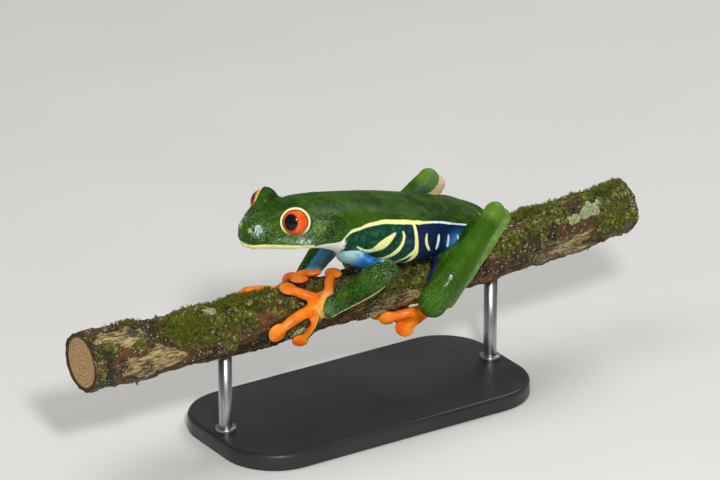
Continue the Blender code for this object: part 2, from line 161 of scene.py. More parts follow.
FEET = {
    "left": (
        ((11.4, 138, 2.6), (9.9, 151, 1.7), (8.6, 163, 0.75)),
        ((10.6, 142, 2.6), (7.6, 159, 1.6), (4.5, 177, 0.75)),
        ((10.4, 127, 2.4), (7.6, 135, 1.7), (4.7, 145, 1.3)),
        ((12.2, 150, 2.6), (11.9, 168, 1.7), (11.6, 182, 0.75)),
        ((12.2, 138, 3.5), (11.0, 148, 4.0), (9.5, 155, 4.6)),
    ),
    "right": (
        ((9.6, -116, 1.8), (8.4, -124, 1.2), (7.0, -131, 0.75)),
        ((8.6, -122, 2.0), (6.0, -129, 1.3), (3.2, -136, 0.75)),
        ((8.8, -131, 2.2), (4.0, -134, 1.4), (-1.8, -138, 0.75)),
        ((9.8, -140, 2.3), (5.8, -152, 1.4), (1.2, -161, 0.75)),
        ((11.8, -132, 2.3), (12.8, -141, 1.5), (14.0, -150, 0.75)),
    ),
}
FINGER_RADII = (1.45, 1.3, 1.15, 0.95)
FINGER_WIDTHS = (0.92, 1.0, 1.05, 0.76)
TOE_RADII = (1.3, 1.2, 1.1, 0.95)
FINGER_DISCS = (2.0, 2.1, 2.25, 1.9)
TOE_DISCS = (1.4, 1.6, 2.0, 2.0, 2.25)
DISC_HALF_THICKNESS = 0.8
TURNED_DISCS = {
    "finger_left_4": (0.75, -0.40, -0.45),
    "toe_left_3": (0.75, -0.35, -0.30),
    "toe_left_5": (0.80, -0.55, 0.15),
}


def unit(v):
    v = np.asarray(v, float)
    return v / np.linalg.norm(v)


def axis_z(y):
    return BRANCH_SLOPE * y + BRANCH_BOW * y * y


def on_branch(y, degrees, height=0.0):
    angle = math.radians(degrees)
    reach = BRANCH_RADIUS + height
    return np.array((reach * math.sin(angle), y, axis_z(y) + reach * math.cos(angle)))


def outwards(degrees):
    angle = math.radians(degrees)
    return np.array((math.sin(angle), 0.0, math.cos(angle)))


def spline(points, count):
    """count rows along a Catmull-Rom curve through rows of numbers."""
    points = np.asarray(points, float)
    padded = np.vstack([2 * points[0] - points[1], points, 2 * points[-1] - points[-2]])
    s = np.linspace(0, len(points) - 1, count)
    i = np.minimum(s.astype(int), len(points) - 2)
    t = (s - i)[:, None]
    p, q, r, w = padded[i], padded[i + 1], padded[i + 2], padded[i + 3]
    curve = (2 * p - 5 * q + 4 * r - w) * t**2 + (3 * q - p - 3 * r + w) * t**3
    return 0.5 * (2 * q + (r - p) * t + curve)


# ---------------------------------------------------------------- distance functions, in mm
def tube_distance(points, path, radii, flat=None, flatness=1.0):
    """Distance to a tapered tube; flat is a direction in which it is thinner."""
    best = np.full(points.shape[:-1], 99.0, np.float32)
    if flat is not None:
        flat = unit(flat).astype(np.float32)
        stretch = 1 / flatness - 1
        points = points + (points @ flat)[..., None] * flat * stretch
        path = path + np.outer(path @ flat, flat) * stretch
    for a, b, ra, rb in zip(path, path[1:], radii, radii[1:]):
        ab = (b - a).astype(np.float32)
        pa = points - a.astype(np.float32)
        h = np.clip(pa @ ab / max(float(ab @ ab), 1e-9), 0, 1)
        d = np.sqrt(((pa - h[..., None] * ab) ** 2).sum(-1)) - (ra + (rb - ra) * h)
        np.minimum(best, d, out=best)
    return best * (1.0 if flat is None else flatness**0.5)


def disc_distance(points, centre, radii, normal, along):
    """Distance to an ellipsoid that is flat along normal."""
    z = unit(normal)
    x = unit(np.cross(along, z))
    turn = np.stack([x, np.cross(z, x), z]).astype(np.float32)
    local = (points - np.asarray(centre, np.float32)) @ turn.T
    radii = np.asarray(radii, np.float32)
    k0 = np.sqrt(((local / radii) ** 2).sum(-1))
    k1 = np.sqrt(((local / radii**2) ** 2).sum(-1))
    return k0 * (k0 - 1) / np.maximum(k1, 1e-6)


def body_distance(points):
    """Distance to head and trunk, a row of squared ovals along Y."""
    dense = spline(BODY, 400)
    y = points[..., 1]
    at = np.clip(y, dense[0, 0], dense[-1, 0])
    columns = (np.interp(at, dense[:, 0], column).astype(np.float32) for column in dense.T[1:])
    width, top, bottom, taper = columns
    high = (top - bottom) / 2
    up = (points[..., 2] - (top + bottom) / 2) / high
    across = np.abs(points[..., 0]) / (width * (1 - taper * np.clip(up, -1, 1)))
    squared = across**BODY_SQUARENESS + np.abs(up) ** BODY_SQUARENESS
    squared = squared ** (1 / BODY_SQUARENESS)
    reach = np.sqrt(points[..., 0] ** 2 + (up * high) ** 2) / np.maximum(squared, 1e-3)
    reach = np.where(squared < 0.05, np.minimum(width, high), reach)
    inside = reach * (squared - 1)
    beyond = np.abs(y - at)
    return np.where(beyond > 0, np.sqrt(np.maximum(inside, 0) ** 2 + beyond**2), inside)


def gaze(sign, azimuth=EYE_AZIMUTH, elevation=EYE_ELEVATION):
    flat = math.cos(elevation)
    return np.array((sign * flat * math.sin(azimuth), -flat * math.cos(azimuth), math.sin(elevation)))


def eye_centre(side):
    low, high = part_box("eye_" + side)
    centre = np.array((low + high) / 2) / MM
    centre[2] -= BRANCH_HEIGHT
    return centre


def eye_radius():
    low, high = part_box("eye_left")
    return (high.x - low.x) / 2 / MM


def lid_distance(points, side):
    """A ball over the eye, cut flat where the lids open."""
    local = points - eye_centre(side).astype(np.float32)
    ball = np.sqrt((local**2).sum(-1)) - LID_RADIUS
    return np.maximum(ball, local @ gaze(SIGNS[side]).astype(np.float32) - LID_OPENING)


def socket_distance(points, side):
    """The clear space in front of the lids, out to a little beyond their rim."""
    look = gaze(SIGNS[side]).astype(np.float32)
    local = points - eye_centre(side).astype(np.float32)
    depth = local @ look
    reach = np.sqrt(((local - depth[..., None] * look) ** 2).sum(-1))
    return np.maximum(reach - 0.12 * depth - SOCKET_RADIUS, LID_OPENING + 0.08 - depth)


def rim_distance(points, side):
    """The raised rim of the lids, thickest over the top and behind."""
    look = gaze(SIGNS[side])
    back = unit(np.cross((0, 0, 1), look)) * SIGNS[side]
    above = np.cross(look, back) * SIGNS[side]
    local = points - (eye_centre(side) + look * (LID_OPENING + 0.05)).astype(np.float32)
    look, back, above = (way.astype(np.float32) for way in (look, back, above))
    depth = local @ look
    flat = local - depth[..., None] * look
    wide, high = flat @ back, flat @ above
    reach = np.sqrt(wide**2 + (high * 1.035) ** 2)
    lean = (0.8 * high + 0.6 * wide) / np.maximum(reach, 1e-3)
    thick = 0.22 + 0.06 * np.clip(lean, -1, 1)
    return np.sqrt((reach - RIM_RADIUS) ** 2 + depth**2) - thick


# ---------------------------------------------------------------- the pieces of the frog
def limb(start, end, radii, bulge=(0, 0, 0), count=12, **flat):
    """A straight limb between joints, with a little bow in its middle."""
    start, end = np.asarray(start), np.asarray(end)
    shares = np.linspace(0, 1, len(radii))
    line = spline([np.append(start + (end - start) * t, r) for t, r in zip(shares, radii)], count)
    bow = np.sin(math.pi * np.linspace(0, 1, count))
    return {"path": line[:, :3] + np.outer(bow, bulge), "radii": line[:, 3], **flat}


def digit(start, places, radii, disc, normal):
    path = [on_branch(*place) for place in places]
    path.insert(0, np.asarray(start) + (path[0] - start) * 0.3)
    line = spline([np.append(p, r) for p, r in zip(path, radii)], 14)
    return {
        "path": line[:, :3],
        "radii": line[:, 3],
        "disc": (path[-1], disc, normal or outwards(places[-1][1]), unit(path[-1] - path[-2])),
    }


def build_parts():
    """Every piece of the limbs by name, with its path and its radii along it."""
    parts = {}
    for side, sign in SIGNS.items():
        shoulder, elbow, wrist = (np.array(joint) for joint in ARMS[side].values())
        palm_place = HANDS[side]["palm"]
        palm = on_branch(*palm_place)
        parts["upper_arm_" + side] = limb(shoulder, elbow, UPPER_ARM_RADII)
        parts["forearm_" + side] = limb(elbow, wrist, FOREARM_RADII, bulge=(0.3 * sign, 0, 0.2))
        lean = outwards(palm_place[1])
        parts["palm_" + side] = limb(wrist, palm, PALM_RADII, flat=lean, flatness=FLATNESS)
        for n, places in enumerate(HANDS[side]["digits"], 1):
            name = f"finger_{side}_{n}"
            radii = [FINGER_WIDTHS[n - 1] * r for r in FINGER_RADII]
            parts[name] = digit(palm, places, radii, FINGER_DISCS[n - 1], TURNED_DISCS.get(name))
        hip, knee, heel, ankle, instep, toe_base = (np.array(p) for p in LEGS[side].values())
        parts["thigh_" + side] = limb(hip, knee, THIGH_RADII)
        parts["shank_" + side] = limb(knee, heel, SHANK_RADII, bulge=(0.5 * sign, 0, 0.0))
        parts["tarsus_" + side] = limb(ankle, instep, TARSUS_RADII, bulge=(0, -0.2, -0.9))
        lean = outwards(110 * sign)
        parts["foot_" + side] = limb(instep, toe_base, FOOT_RADII, flat=lean, flatness=FLATNESS)
        for n, places in enumerate(FEET[side], 1):
            name = f"toe_{side}_{n}"
            parts[name] = digit(toe_base, places, TOE_RADII, TOE_DISCS[n - 1], TURNED_DISCS.get(name))
    return parts


PARTS = build_parts()
# Webs between digits n and n + 1, and how far along the digits they reach.
WEBS = [("finger", side, n, 0.42) for side in SIGNS for n in (1, 2, 3)]
WEBS += [("toe", side, n, 0.6) for side in SIGNS for n in (1, 2, 3, 4)]


def web_distance(points, kind, side, n, reach):
    """A thin web of skin between two neighbouring digits."""
    first, second = (PARTS[f"{kind}_{side}_{m}"]["path"] for m in (n, n + 1))
    best = np.full(points.shape[:-1], 99.0, np.float32)
    for t in np.linspace(0.05, reach, 9):
        k = t * (len(first) - 1)
        i = int(k)
        ends = np.array([path[i] + (path[i + 1] - path[i]) * (k - i) for path in (first, second)])
        best = np.minimum(best, tube_distance(points, ends, (WEB_RADIUS, WEB_RADIUS)))
    return best


def part_distance(points, name):
    part = PARTS[name]
    d = tube_distance(points, part["path"], part["radii"], part.get("flat"), part.get("flatness", 1.0))
    if "disc" in part:
        centre, size, normal, along = part["disc"]
        pad = disc_distance(points, centre, (size, size * 1.02, DISC_HALF_THICKNESS), normal, along)
        d = smooth_min(d, pad, 0.5)
    return d


def smooth_min(a, b, k):
    """The lesser of two distances, with a fillet of k where they are alike."""
    h = np.clip(0.5 + 0.5 * (b - a) / k, 0, 1)
    return b + (a - b) * h - k * h * (1 - h)


# ---------------------------------------------------------------- the field and its surface
LOW = np.array((-20.5, -33.5, -14.0))
HIGH = np.array((20.5, 37.0, 31.5))
SHAPE = tuple(int(n) for n in np.ceil((HIGH - LOW) / FINE).astype(int) + 1)
STEPS = np.eye(3, dtype=int)
field = np.full(SHAPE, 3.0, np.float32)


def window(low, high):
    """The slices of the grid that hold a box, and the box's grid points."""
    first = np.maximum(np.floor((np.asarray(low) - LOW) / FINE).astype(int), 0)
    last = np.minimum(np.ceil((np.asarray(high) - LOW) / FINE).astype(int) + 1, SHAPE)
    cut = tuple(slice(a, b) for a, b in zip(first, last))
    ranges = [np.arange(a, b, dtype=np.float32) * FINE + np.float32(o) for a, b, o in zip(first, last, LOW)]
    return cut, np.stack(np.meshgrid(*ranges, indexing="ij"), -1)


def merge(distance, path, reach, k):
    """Adds a shape to the field with a fillet of k, or takes it away where k is negative.

    The shape lies in the box round the path, with some reach beyond it."""
    path = np.atleast_2d(path)
    cut, points = window(path.min(0) - reach, path.max(0) + reach)
    found = distance(points).astype(np.float32)
    field[cut] = smooth_min(field[cut], found, k) if k > 0 else -smooth_min(-field[cut], found, -k)


def grow_field():
    merge(body_distance, ((-14, -33.5, 4), (14, 37, 30)), 0, 0.01)
    for side, sign in SIGNS.items():
        for rows, radii, k in ((BROW, (0.8, 1.0, 1.2), 2.4), (EAR_FOLD, (0.45, 0.5, 0.4), 1.3)):
            path = np.array(rows) * (sign, 1, 1)
            merge(lambda p: tube_distance(p, path, radii), path, 4, k)
        for distance, k in ((lid_distance, 1.1), (socket_distance, -0.4), (rim_distance, 0.22)):
            merge(lambda p: distance(p, side), eye_centre(side), 6, k)
        for name in [n for n in PARTS if side in n]:
            path, reach = PARTS[name]["path"], PARTS[name]["radii"].max() + 2.5
            merge(lambda p: part_distance(p, name), path, reach, FILLETS[name.split("_" + side)[0]])
        joint = (np.array(LEGS[side]["heel"]) + LEGS[side]["ankle"]) / 2 - (0.3 * sign, 0.2, 0.6)
        merge(lambda p: np.sqrt(((p - joint) ** 2).sum(-1)) - HEEL_RADIUS, joint, 5, 0.9)
    for kind, side, n, reach in WEBS:
        ends = np.vstack([PARTS[f"{kind}_{side}_{m}"]["path"] for m in (n, n + 1)])
        merge(lambda p: web_distance(p, kind, side, n, reach), ends, 2, 0.5)


def crossings(values, cells):
    """The mean place in each cell where the surface cuts the cell's edges."""
    total, hits = np.zeros((len(cells), 3)), np.zeros(len(cells))
    for axis in range(3):
        first, second = np.delete(STEPS, axis, 0)
        for i, j in np.ndindex(2, 2):
            a = cells + first * i + second * j
            va, vb = values[tuple(a.T)], values[tuple((a + STEPS[axis]).T)]
            crossed = (va < 0) != (vb < 0)
            t = np.where(crossed, va / np.where(crossed, va - vb, 1), 0)
            total += (first * i + second * j + t[:, None] * STEPS[axis]) * crossed[:, None]
            hits += crossed
    return total / hits[:, None]


def edge_quads(inside, number):
    """A quad round each edge of the grid that the surface cuts, from the cells' numbers."""
    quads = []
    for axis in range(3):
        first, second = np.delete(STEPS, axis, 0)
        low, high = [slice(None)] * 3, [slice(None)] * 3
        low[axis], high[axis] = slice(0, -1), slice(1, None)
        edges = np.argwhere(inside[tuple(low)] != inside[tuple(high)])
        edges = edges[(np.delete(edges, axis, 1) > 0).all(1)]
        turns = ((0, 0), (1, 0), (1, 1), (0, 1))
        quad = np.stack([number[tuple((edges - first * i - second * j).T)] for i, j in turns], -1)
        flip = inside[tuple(edges.T)] ^ (axis == 1)
        quad[~flip] = quad[~flip][:, ::-1]
        quads.append(quad)
    return np.vstack(quads)


def surface(values):
    """Surface nets: one vertex in each cell that the surface crosses, one quad for each edge."""
    inside = values < 0
    count = np.zeros([n - 1 for n in SHAPE], np.int8)
    for corner in np.ndindex(2, 2, 2):
        count += inside[tuple(slice(c, n - 1 + c) for c, n in zip(corner, SHAPE))]
    cells = np.argwhere((count > 0) & (count < 8))
    number = np.full(count.shape, -1, np.int32)
    number[tuple(cells.T)] = np.arange(len(cells))
    points = (cells + crossings(values, cells)) * FINE + LOW
    return points, edge_quads(inside, number)


def relax(points, quads, rounds):
    """Evens the net out without shrinking it."""
    start, end = quads.ravel(), quads[:, [1, 2, 3, 0]].ravel()
    count = len(points)
    degree = (np.bincount(start, minlength=count) + np.bincount(end, minlength=count))[:, None]
    for share in (0.5, -0.52) * rounds:
        total = np.zeros_like(points)
        for a, b in ((start, end), (end, start)):
            total += np.stack([np.bincount(a, way[b], count) for way in points.T], -1)
        points = points + share * (total / degree - points)
    return points


def mesh_from(name, points, *blocks, smooth=True):
    """An object from points in mm over the perch and blocks of faces, each of faces of one size."""
    points = (np.asarray(points) + (0, 0, BRANCH_HEIGHT)) * MM
    corners = np.concatenate([block.ravel() for block in blocks])
    sizes = np.concatenate([np.full(len(block), block.shape[1]) for block in blocks])
    data = bpy.data.meshes.new(name)
    data.vertices.add(len(points))
    data.vertices.foreach_set("co", points.astype(np.float32).ravel())
    data.loops.add(len(corners))
    data.loops.foreach_set("vertex_index", corners.astype(np.int32))
    data.polygons.add(len(sizes))
    data.polygons.foreach_set("loop_start", (np.cumsum(sizes) - sizes).astype(np.int32))
    data.update(calc_edges=True)
    if smooth:
        data.shade_smooth()
    made = bpy.data.objects.new(name, data)
    bpy.context.scene.collection.objects.link(made)
    return made


def net(rows, columns, start=0):
    """Quads between neighbouring rings of points, each ring closed on itself."""
    j = np.arange(columns)
    k = (j + 1) % columns
    row = start + columns * np.arange(rows - 1)[:, None]
    return np.stack([row + j, row + k, row + k + columns, row + j + columns], -1).reshape(-1, 4)


def fan(tip, columns, start):
    """Triangles from a point to one closed ring of points."""
    ring = start + np.arange(columns)
    return np.stack([np.full(columns, tip), ring, np.roll(ring, -1)], -1)


# ---------------------------------------------------------------- noise for shapes, in numpy
def lattice(points, size, seed):
    """Smooth value noise from -1 to 1 whose bumps are about size across."""
    scaled = np.asarray(points, float) / size + seed * 17.31
    base = np.floor(scaled).astype(np.int64)
    t = scaled - base
    t = t * t * (3 - 2 * t)
    total = np.zeros(len(points))
    for corner in range(8):
        pick = np.array([(corner >> k) & 1 for k in range(3)])
        cell = ((base + pick) & 0xFFFF) * (73856093, 19349663, 83492791)
        mixed = cell[:, 0] ^ cell[:, 1] ^ cell[:, 2] ^ (seed * 2654435)
        mixed = (mixed ^ (mixed >> 13)) * 1274126177 & 0x7FFFFFFF
        mixed = (mixed ^ (mixed >> 16)) & 0xFFFF
        total += (mixed / 32767.5 - 1) * np.where(pick, t, 1 - t).prod(1)
    return total


def smooth(x, low, high):
    """0 below low, 1 above high and smooth between."""
    t = np.clip((np.asarray(x, float) - low) / (high - low), 0, 1)
    return t * t * (3 - 2 * t)


# ---------------------------------------------------------------- markings of the skin, in mm
# Where green meets flank, lip and throat: Y and Z along each side.
GREEN_EDGE = np.array(
    [
        (-33.0, 19.2), (-32.0, 19.3), (-31.0, 19.6), (-30.0, 19.85), (-28.5, 19.95), (-26.0, 19.85),
        (-22.0, 19.55), (-18.8, 19.3), (-16.0, 19.5), (-13.0, 19.1), (-11.5, 19.1),
        (-10.4, 19.7), (-8.4, 20.6), (-6.1, 20.6), (-3.4, 20.9), (0.6, 20.8), (4.9, 19.9),
        (9.3, 18.9), (16.0, 17.3), (22.0, 15.2), (28.0, 13.4), (34.6, 12.6),
    ]
)
# Where flank meets belly.
FLANK_FOOT = np.array(
    [(-12.0, 15.2), (-8.0, 13.8), (-4.0, 12.0), (0.0, 10.2), (8.0, 8.5)]
    + [(16.0, 8.4), (24.0, 9.2), (34.0, 10.5)]
)
# Pale strokes on the flank: Y, Z and half width.
STROKES = (
    ((-10.6, 19.5, 0.16), (-8.4, 20.5, 0.3), (-6.1, 20.65, 0.28), (-3.4, 20.95, 0.34), (0.8, 20.75, 0.4),
     (4.9, 19.9, 0.42), (9.3, 18.9, 0.38), (12.0, 18.3, 0.2), (16.0, 17.3, 0.18),
     (22.0, 15.2, 0.16), (27.5, 13.6, 0.1)),
    ((8.2, 18.6, 0.42), (8.05, 16.2, 0.42), (8.0, 14.4, 0.5), (7.9, 13.0, 0.62),
     (7.8, 11.6, 0.7), (7.5, 10.2, 0.6), (7.2, 9.0, 0.35)),
    ((7.7, 12.9, 0.45), (6.6, 11.9, 0.45), (5.6, 10.9, 0.32), (4.6, 10.1, 0.24), (3.7, 9.3, 0.14)),
    ((2.8, 17.9, 0.2), (1.3, 17.0, 0.72), (-0.4, 16.0, 1.08), (-1.8, 15.25, 0.85),
     (-3.3, 14.75, 0.5), (-5.1, 15.1, 0.32), (-6.9, 16.4, 0.15)),
    ((4.8, 17.9, 0.22), (4.85, 16.6, 0.32), (4.1, 14.9, 0.42), (2.8, 13.3, 0.55),
     (1.3, 12.15, 0.5), (0.0, 11.7, 0.36), (-0.9, 11.7, 0.2)),
    ((11.05, 16.1, 0.18), (10.7, 15.0, 0.32), (10.8, 13.6, 0.36), (11.6, 12.0, 0.2)),
    ((14.5, 15.1, 0.18), (14.3, 14.2, 0.36), (13.9, 12.6, 0.36), (13.7, 11.8, 0.2)),
    ((17.45, 14.2, 0.18), (17.4, 13.4, 0.38), (17.2, 12.2, 0.4), (17.15, 11.5, 0.2)),
    ((20.4, 13.3, 0.15), (20.4, 12.1, 0.26), (20.3, 11.3, 0.14)),
)
EAR = np.array((9.3, -16.85, 23.4))
EAR_RADIUS = 1.75
NOSTRIL = np.array((2.75, -30.75, 23.65))
MOUTH_BACK = -18.7
# Where the skin is pale and grainy on the head: centre, reach and strength.
BLOOMS = (((3.6, -30.1, 23.75), 1.3, 1.7), ((9.3, -21.2, 21.4), 2.6, 0.5), ((9.5, -17.0, 23.3), 1.7, 0.25))
GOLD_SPOT = np.array((2.05, -31.15, 23.3))


def stroke_distance(points, rows):
    """Distance from a stroke's edge in the side view, negative inside it."""
    dense = spline(rows, 6 * len(rows))
    return tube_distance(points[:, 1:], dense[:, :2], dense[:, 2])


def along_limb(points, part):
    """How far along its path each point lies, and its offset from it in radii."""
    nearest = np.full(len(points), 99.0)
    share = np.zeros(len(points))
    offset = np.zeros((len(points), 3))
    path, radii = part["path"], part["radii"]
    for i, (a, b, ra, rb) in enumerate(zip(path, path[1:], radii, radii[1:])):
        ab = b - a
        h = np.clip((points - a) @ ab / (ab @ ab), 0, 1)
        away = points - a - h[:, None] * ab
        radius = ra + (rb - ra) * h
        d = np.linalg.norm(away, axis=1) - radius
        closer = d < nearest
        nearest[closer] = d[closer]
        share[closer] = (i + h[closer]) / (len(path) - 1)
        offset[closer] = away[closer] / radius[closer, None]
    return share, offset


# Which way the outer side of a left limb faces.
LIMB_SIDES = {
    "upper_arm": (0.30, -0.80, -0.35),
    "forearm": (0.80, -0.50, 0.25),
    "thigh": (0.35, 0.0, 0.94),
    "shank": (0.97, -0.1, 0.2),
    "tarsus": (0.95, 0.25, 0.1),
    "foot": (0.75, 0.55, 0.35),
}
# The parts of the skin that have a paint of their own, by how their pieces' names start.
GROUPS = {name: name for name in LIMB_SIDES} | {"hand": ("palm", "finger"), "toes": "toe"}
# How far a limb's lower edge leans outwards.
EDGE_LEAN = 0.36


def limb_place(points, name, kind):
    """Where points lie on a limb: towards its outer side, along it, and towards its lower edge."""
    share, offset = along_limb(points, PARTS[name])
    outward = unit(LIMB_SIDES[kind]) * (SIGNS["left" if "left" in name else "right"], 1, 1)
    path = PARTS[name]["path"]
    below = unit(np.cross(path[-1] - path[0], outward))
    edge = unit(below * (-1 if below[2] > 0 else 1) + EDGE_LEAN * outward)
    low = offset @ edge / np.maximum(np.linalg.norm(offset, axis=1), 1e-3)
    return np.stack([offset @ outward, share, low])


def skin_regions(points):
    """What each point of the skin belongs to, as shares that add up to one, and its limb place."""
    distance = {"body": body_distance(points.astype(np.float32)).astype(float)}
    for side in SIGNS:
        distance["body"] = np.minimum(distance["body"], lid_distance(points, side))
    places = np.zeros((3, len(points)))
    nearest = np.full(len(points), 99.0)
    for group, kinds in GROUPS.items():
        distance[group] = np.full(len(points), 99.0)
        for name in [n for n in PARTS if n.startswith(kinds)]:
            d = part_distance(points, name)
            distance[group] = np.minimum(distance[group], d)
            if group in LIMB_SIDES:
                closer = d < nearest
                nearest[closer] = d[closer]
                places[:, closer] = limb_place(points[closer], name, group)
    # Ragged borders, where the thigh and the upper arm leave the flank.
    distance["thigh"] += 0.7 * lattice(points, 1.9, 51)
    distance["upper_arm"] += 0.3 * lattice(points, 1.1, 52)
    lowest = np.min(list(distance.values()), axis=0)
    weight = {g: np.exp(-(d - lowest) / 0.22) for g, d in distance.items()}
    total = sum(weight.values())
    return {g: w / total for g, w in weight.items()}, places


def both_sides(points, place):
    """Distance from a place on the left side, or from its mirror image on the right."""
    return np.linalg.norm(np.abs(points) * (1, 0, 0) + points * (0, 1, 1) - place, axis=1)


def outer_fingers(points):
    """The rear edge of each outermost finger, widest at its base."""
    found = np.zeros(len(points))
    for side, sign in SIGNS.items():
        name = f"finger_{side}_4"
        near = np.flatnonzero(part_distance(points, name) < 1.2)
        share, offset = along_limb(points[near], PARTS[name])
        rear = unit((0.55 * sign, 0.75, -0.35))
        found[near] = smooth(offset @ rear - 0.5 * share, -0.25, 0.2) * smooth(-share, -0.95, -0.75)
    return found


def nearest_of(points, places):
    """Distance to the nearest of some places."""
    return np.min([np.linalg.norm(points - place, axis=1) for place in places], axis=0)


def pale_share(points, green_edge, body):
    """How pale the head is: along the mouth and in its blooms."""
    y = points[:, 1]
    lips = smooth(green_edge, 0.75, 1.1) * smooth(-green_edge, -2.5, -1.5)
    lips *= smooth(-y, 17.5, 20.0) * smooth(y, -29.0, -24.0)
    blooms = sum(k * np.exp(-((both_sides(points, place) / reach) ** 2)) for place, reach, k in BLOOMS)
    return np.clip(0.5 * lips + blooms, 0, 1) * body


def grain_share(points, share, along, pale):
    """How grainy the skin is: most on the head, the forearm and near the knee."""
    knee = smooth(-along, -0.42, -0.08) * share["shank"]
    head = share["body"] * smooth(-points[:, 1], 6.0, 15.0) * smooth(-points[:, 2], -27.0, -24.5)
    fore = (0.16 + 0.8 * np.abs(2 * along - 0.95) ** 1.5) * share["forearm"]
    return np.clip(0.07 + 0.5 * head + fore + 0.6 * knee + pale, 0, 1)


def measure_skin(points):
    """Every number that the skin's material reads, for each point."""
    x, y, z = np.abs(points[:, 0]), points[:, 1], points[:, 2]
    share, (outer, along, low) = skin_regions(points)
    green_edge = z - np.interp(y, *np.transpose(GREEN_EDGE))
    strokes = np.min([stroke_distance(points, rows) for rows in STROKES], axis=0)
    depths = [(points - eye_centre(side)) @ gaze(sign) for side, sign in SIGNS.items()]
    pale = pale_share(points, green_edge, share["body"])
    return {"w_" + g: w for g, w in share.items()} | {
        "limb_side": outer,
        "limb_along": along,
        "limb_low": low,
        "green_edge": green_edge,
        "belly_edge": z - np.interp(y, *np.transpose(FLANK_FOOT)),
        "cream": strokes + 20 * smooth(4.0 - x, 0, 3),
        "lip": np.abs(green_edge - 0.10) - 0.54 + 20 * smooth(y, MOUTH_BACK - 0.2, MOUTH_BACK + 1.2),
        "ear": both_sides(points, EAR),
        "nostril": both_sides(points, NOSTRIL),
        "gold": both_sides(points, GOLD_SPOT),
        "rim": np.minimum(*(rim_distance(points, side) for side in SIGNS)),
        "socket": np.where(points[:, 0] > 0, *depths),
        "wrist": nearest_of(points, [arm["wrist"] for arm in ARMS.values()]),
        "thumb": nearest_of(points, [PARTS[f"finger_{side}_1"]["path"][3] for side in SIGNS]),
        "outer": outer_fingers(points),
        "instep": nearest_of(points, [leg["instep"] for leg in LEGS.values()]),
        "eye_low": eye_centre("left")[2] - z,
        "azure": np.exp(-(((y - 19.8) / 2.6) ** 2) - ((z - 12.4) / 1.7) ** 2) * share["body"],
        "pale": pale,
        "grain": grain_share(points, share, along, pale),
    }


def emboss(points, normals, found):
    """Fine relief: mouth, nostrils, eardrums, grains, the forearm's fringe and soft unevenness."""
    mouth = np.exp(-(((found["green_edge"] + 0.62) / 0.17) ** 2))
    mouth *= smooth(-points[:, 1], -MOUTH_BACK - 0.3, -MOUTH_BACK + 0.4)
    drum = np.exp(-(((found["ear"] - EAR_RADIUS) / 0.25) ** 2))
    drum += 0.35 * smooth(-found["ear"], -EAR_RADIUS, -0.9)
    pit = np.exp(-((found["nostril"] / 0.36) ** 2))
    uneven = 0.06 * lattice(points, 2.6, 3) + 0.03 * lattice(points, 1.1, 5)
    grains = 0.1 * smooth(lattice(points, 0.62, 7), -0.1, 0.75) * found["grain"]
    still = smooth(found["rim"], 0.1, 0.8)
    fringe = smooth(found["limb_low"], 0.965, 0.99) * found["w_forearm"]
    fringe *= smooth(found["limb_along"], 0.05, 0.25)
    depth = found["w_body"] * (0.26 * mouth + 0.2 * drum + 0.5 * pit)
    depth += (uneven - grains) * still - 0.14 * fringe
    return points - normals * depth[:, None]


def vertex_normals(points, quads):
    corners = points[quads]
    across = np.cross(corners[:, 2] - corners[:, 0], corners[:, 3] - corners[:, 1])
    total = np.zeros_like(points)
    for corner in quads.T:
        total += np.stack([np.bincount(corner, way, len(points)) for way in across.T], -1)
    return total / np.maximum(np.linalg.norm(total, axis=1, keepdims=True), 1e-12)


def store(made, found):
    """Writes the measures as attributes of the mesh's points."""
    for name, values in found.items():
        layer = made.data.attributes.new(name, "FLOAT", "POINT")
        layer.data.foreach_set("value", np.asarray(values, np.float32))


FLESH = [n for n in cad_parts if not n.startswith(("eye_", "branch", "stand_"))]


def make_skin(finish):
    grow_field()
    points, quads = surface(field)
    points = relax(points, quads, 3)
    normals = vertex_normals(points, quads)
    found = measure_skin(points)
    points = emboss(points, normals, found)
    made = mesh_from("skin", points, quads)
    store(made, found)
    made.data.materials.append(finish)
    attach(made, "root")
    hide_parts(*FLESH)
    return made


# ---------------------------------------------------------------- material helpers
def srgb(red, green, blue):
    """A colour as it is seen, 0 to 255, made linear."""
    shares = (c / 255 for c in (red, green, blue))
    return *(c / 12.92 if c <= 10 / 255 else ((c + 0.055) / 1.055) ** 2.4 for c in shares), 1.0


class Value:
    """What a node gives out, which can be added, subtracted and multiplied."""

    def __init__(self, tree, socket):
        self.tree, self.socket = tree, socket

    def __add__(self, other):
        return self.tree.calc("ADD", self, other)

    def __sub__(self, other):
        return self.tree.calc("SUBTRACT", self, other)

    def __mul__(self, other):
        return self.tree.calc("MULTIPLY", self, other)


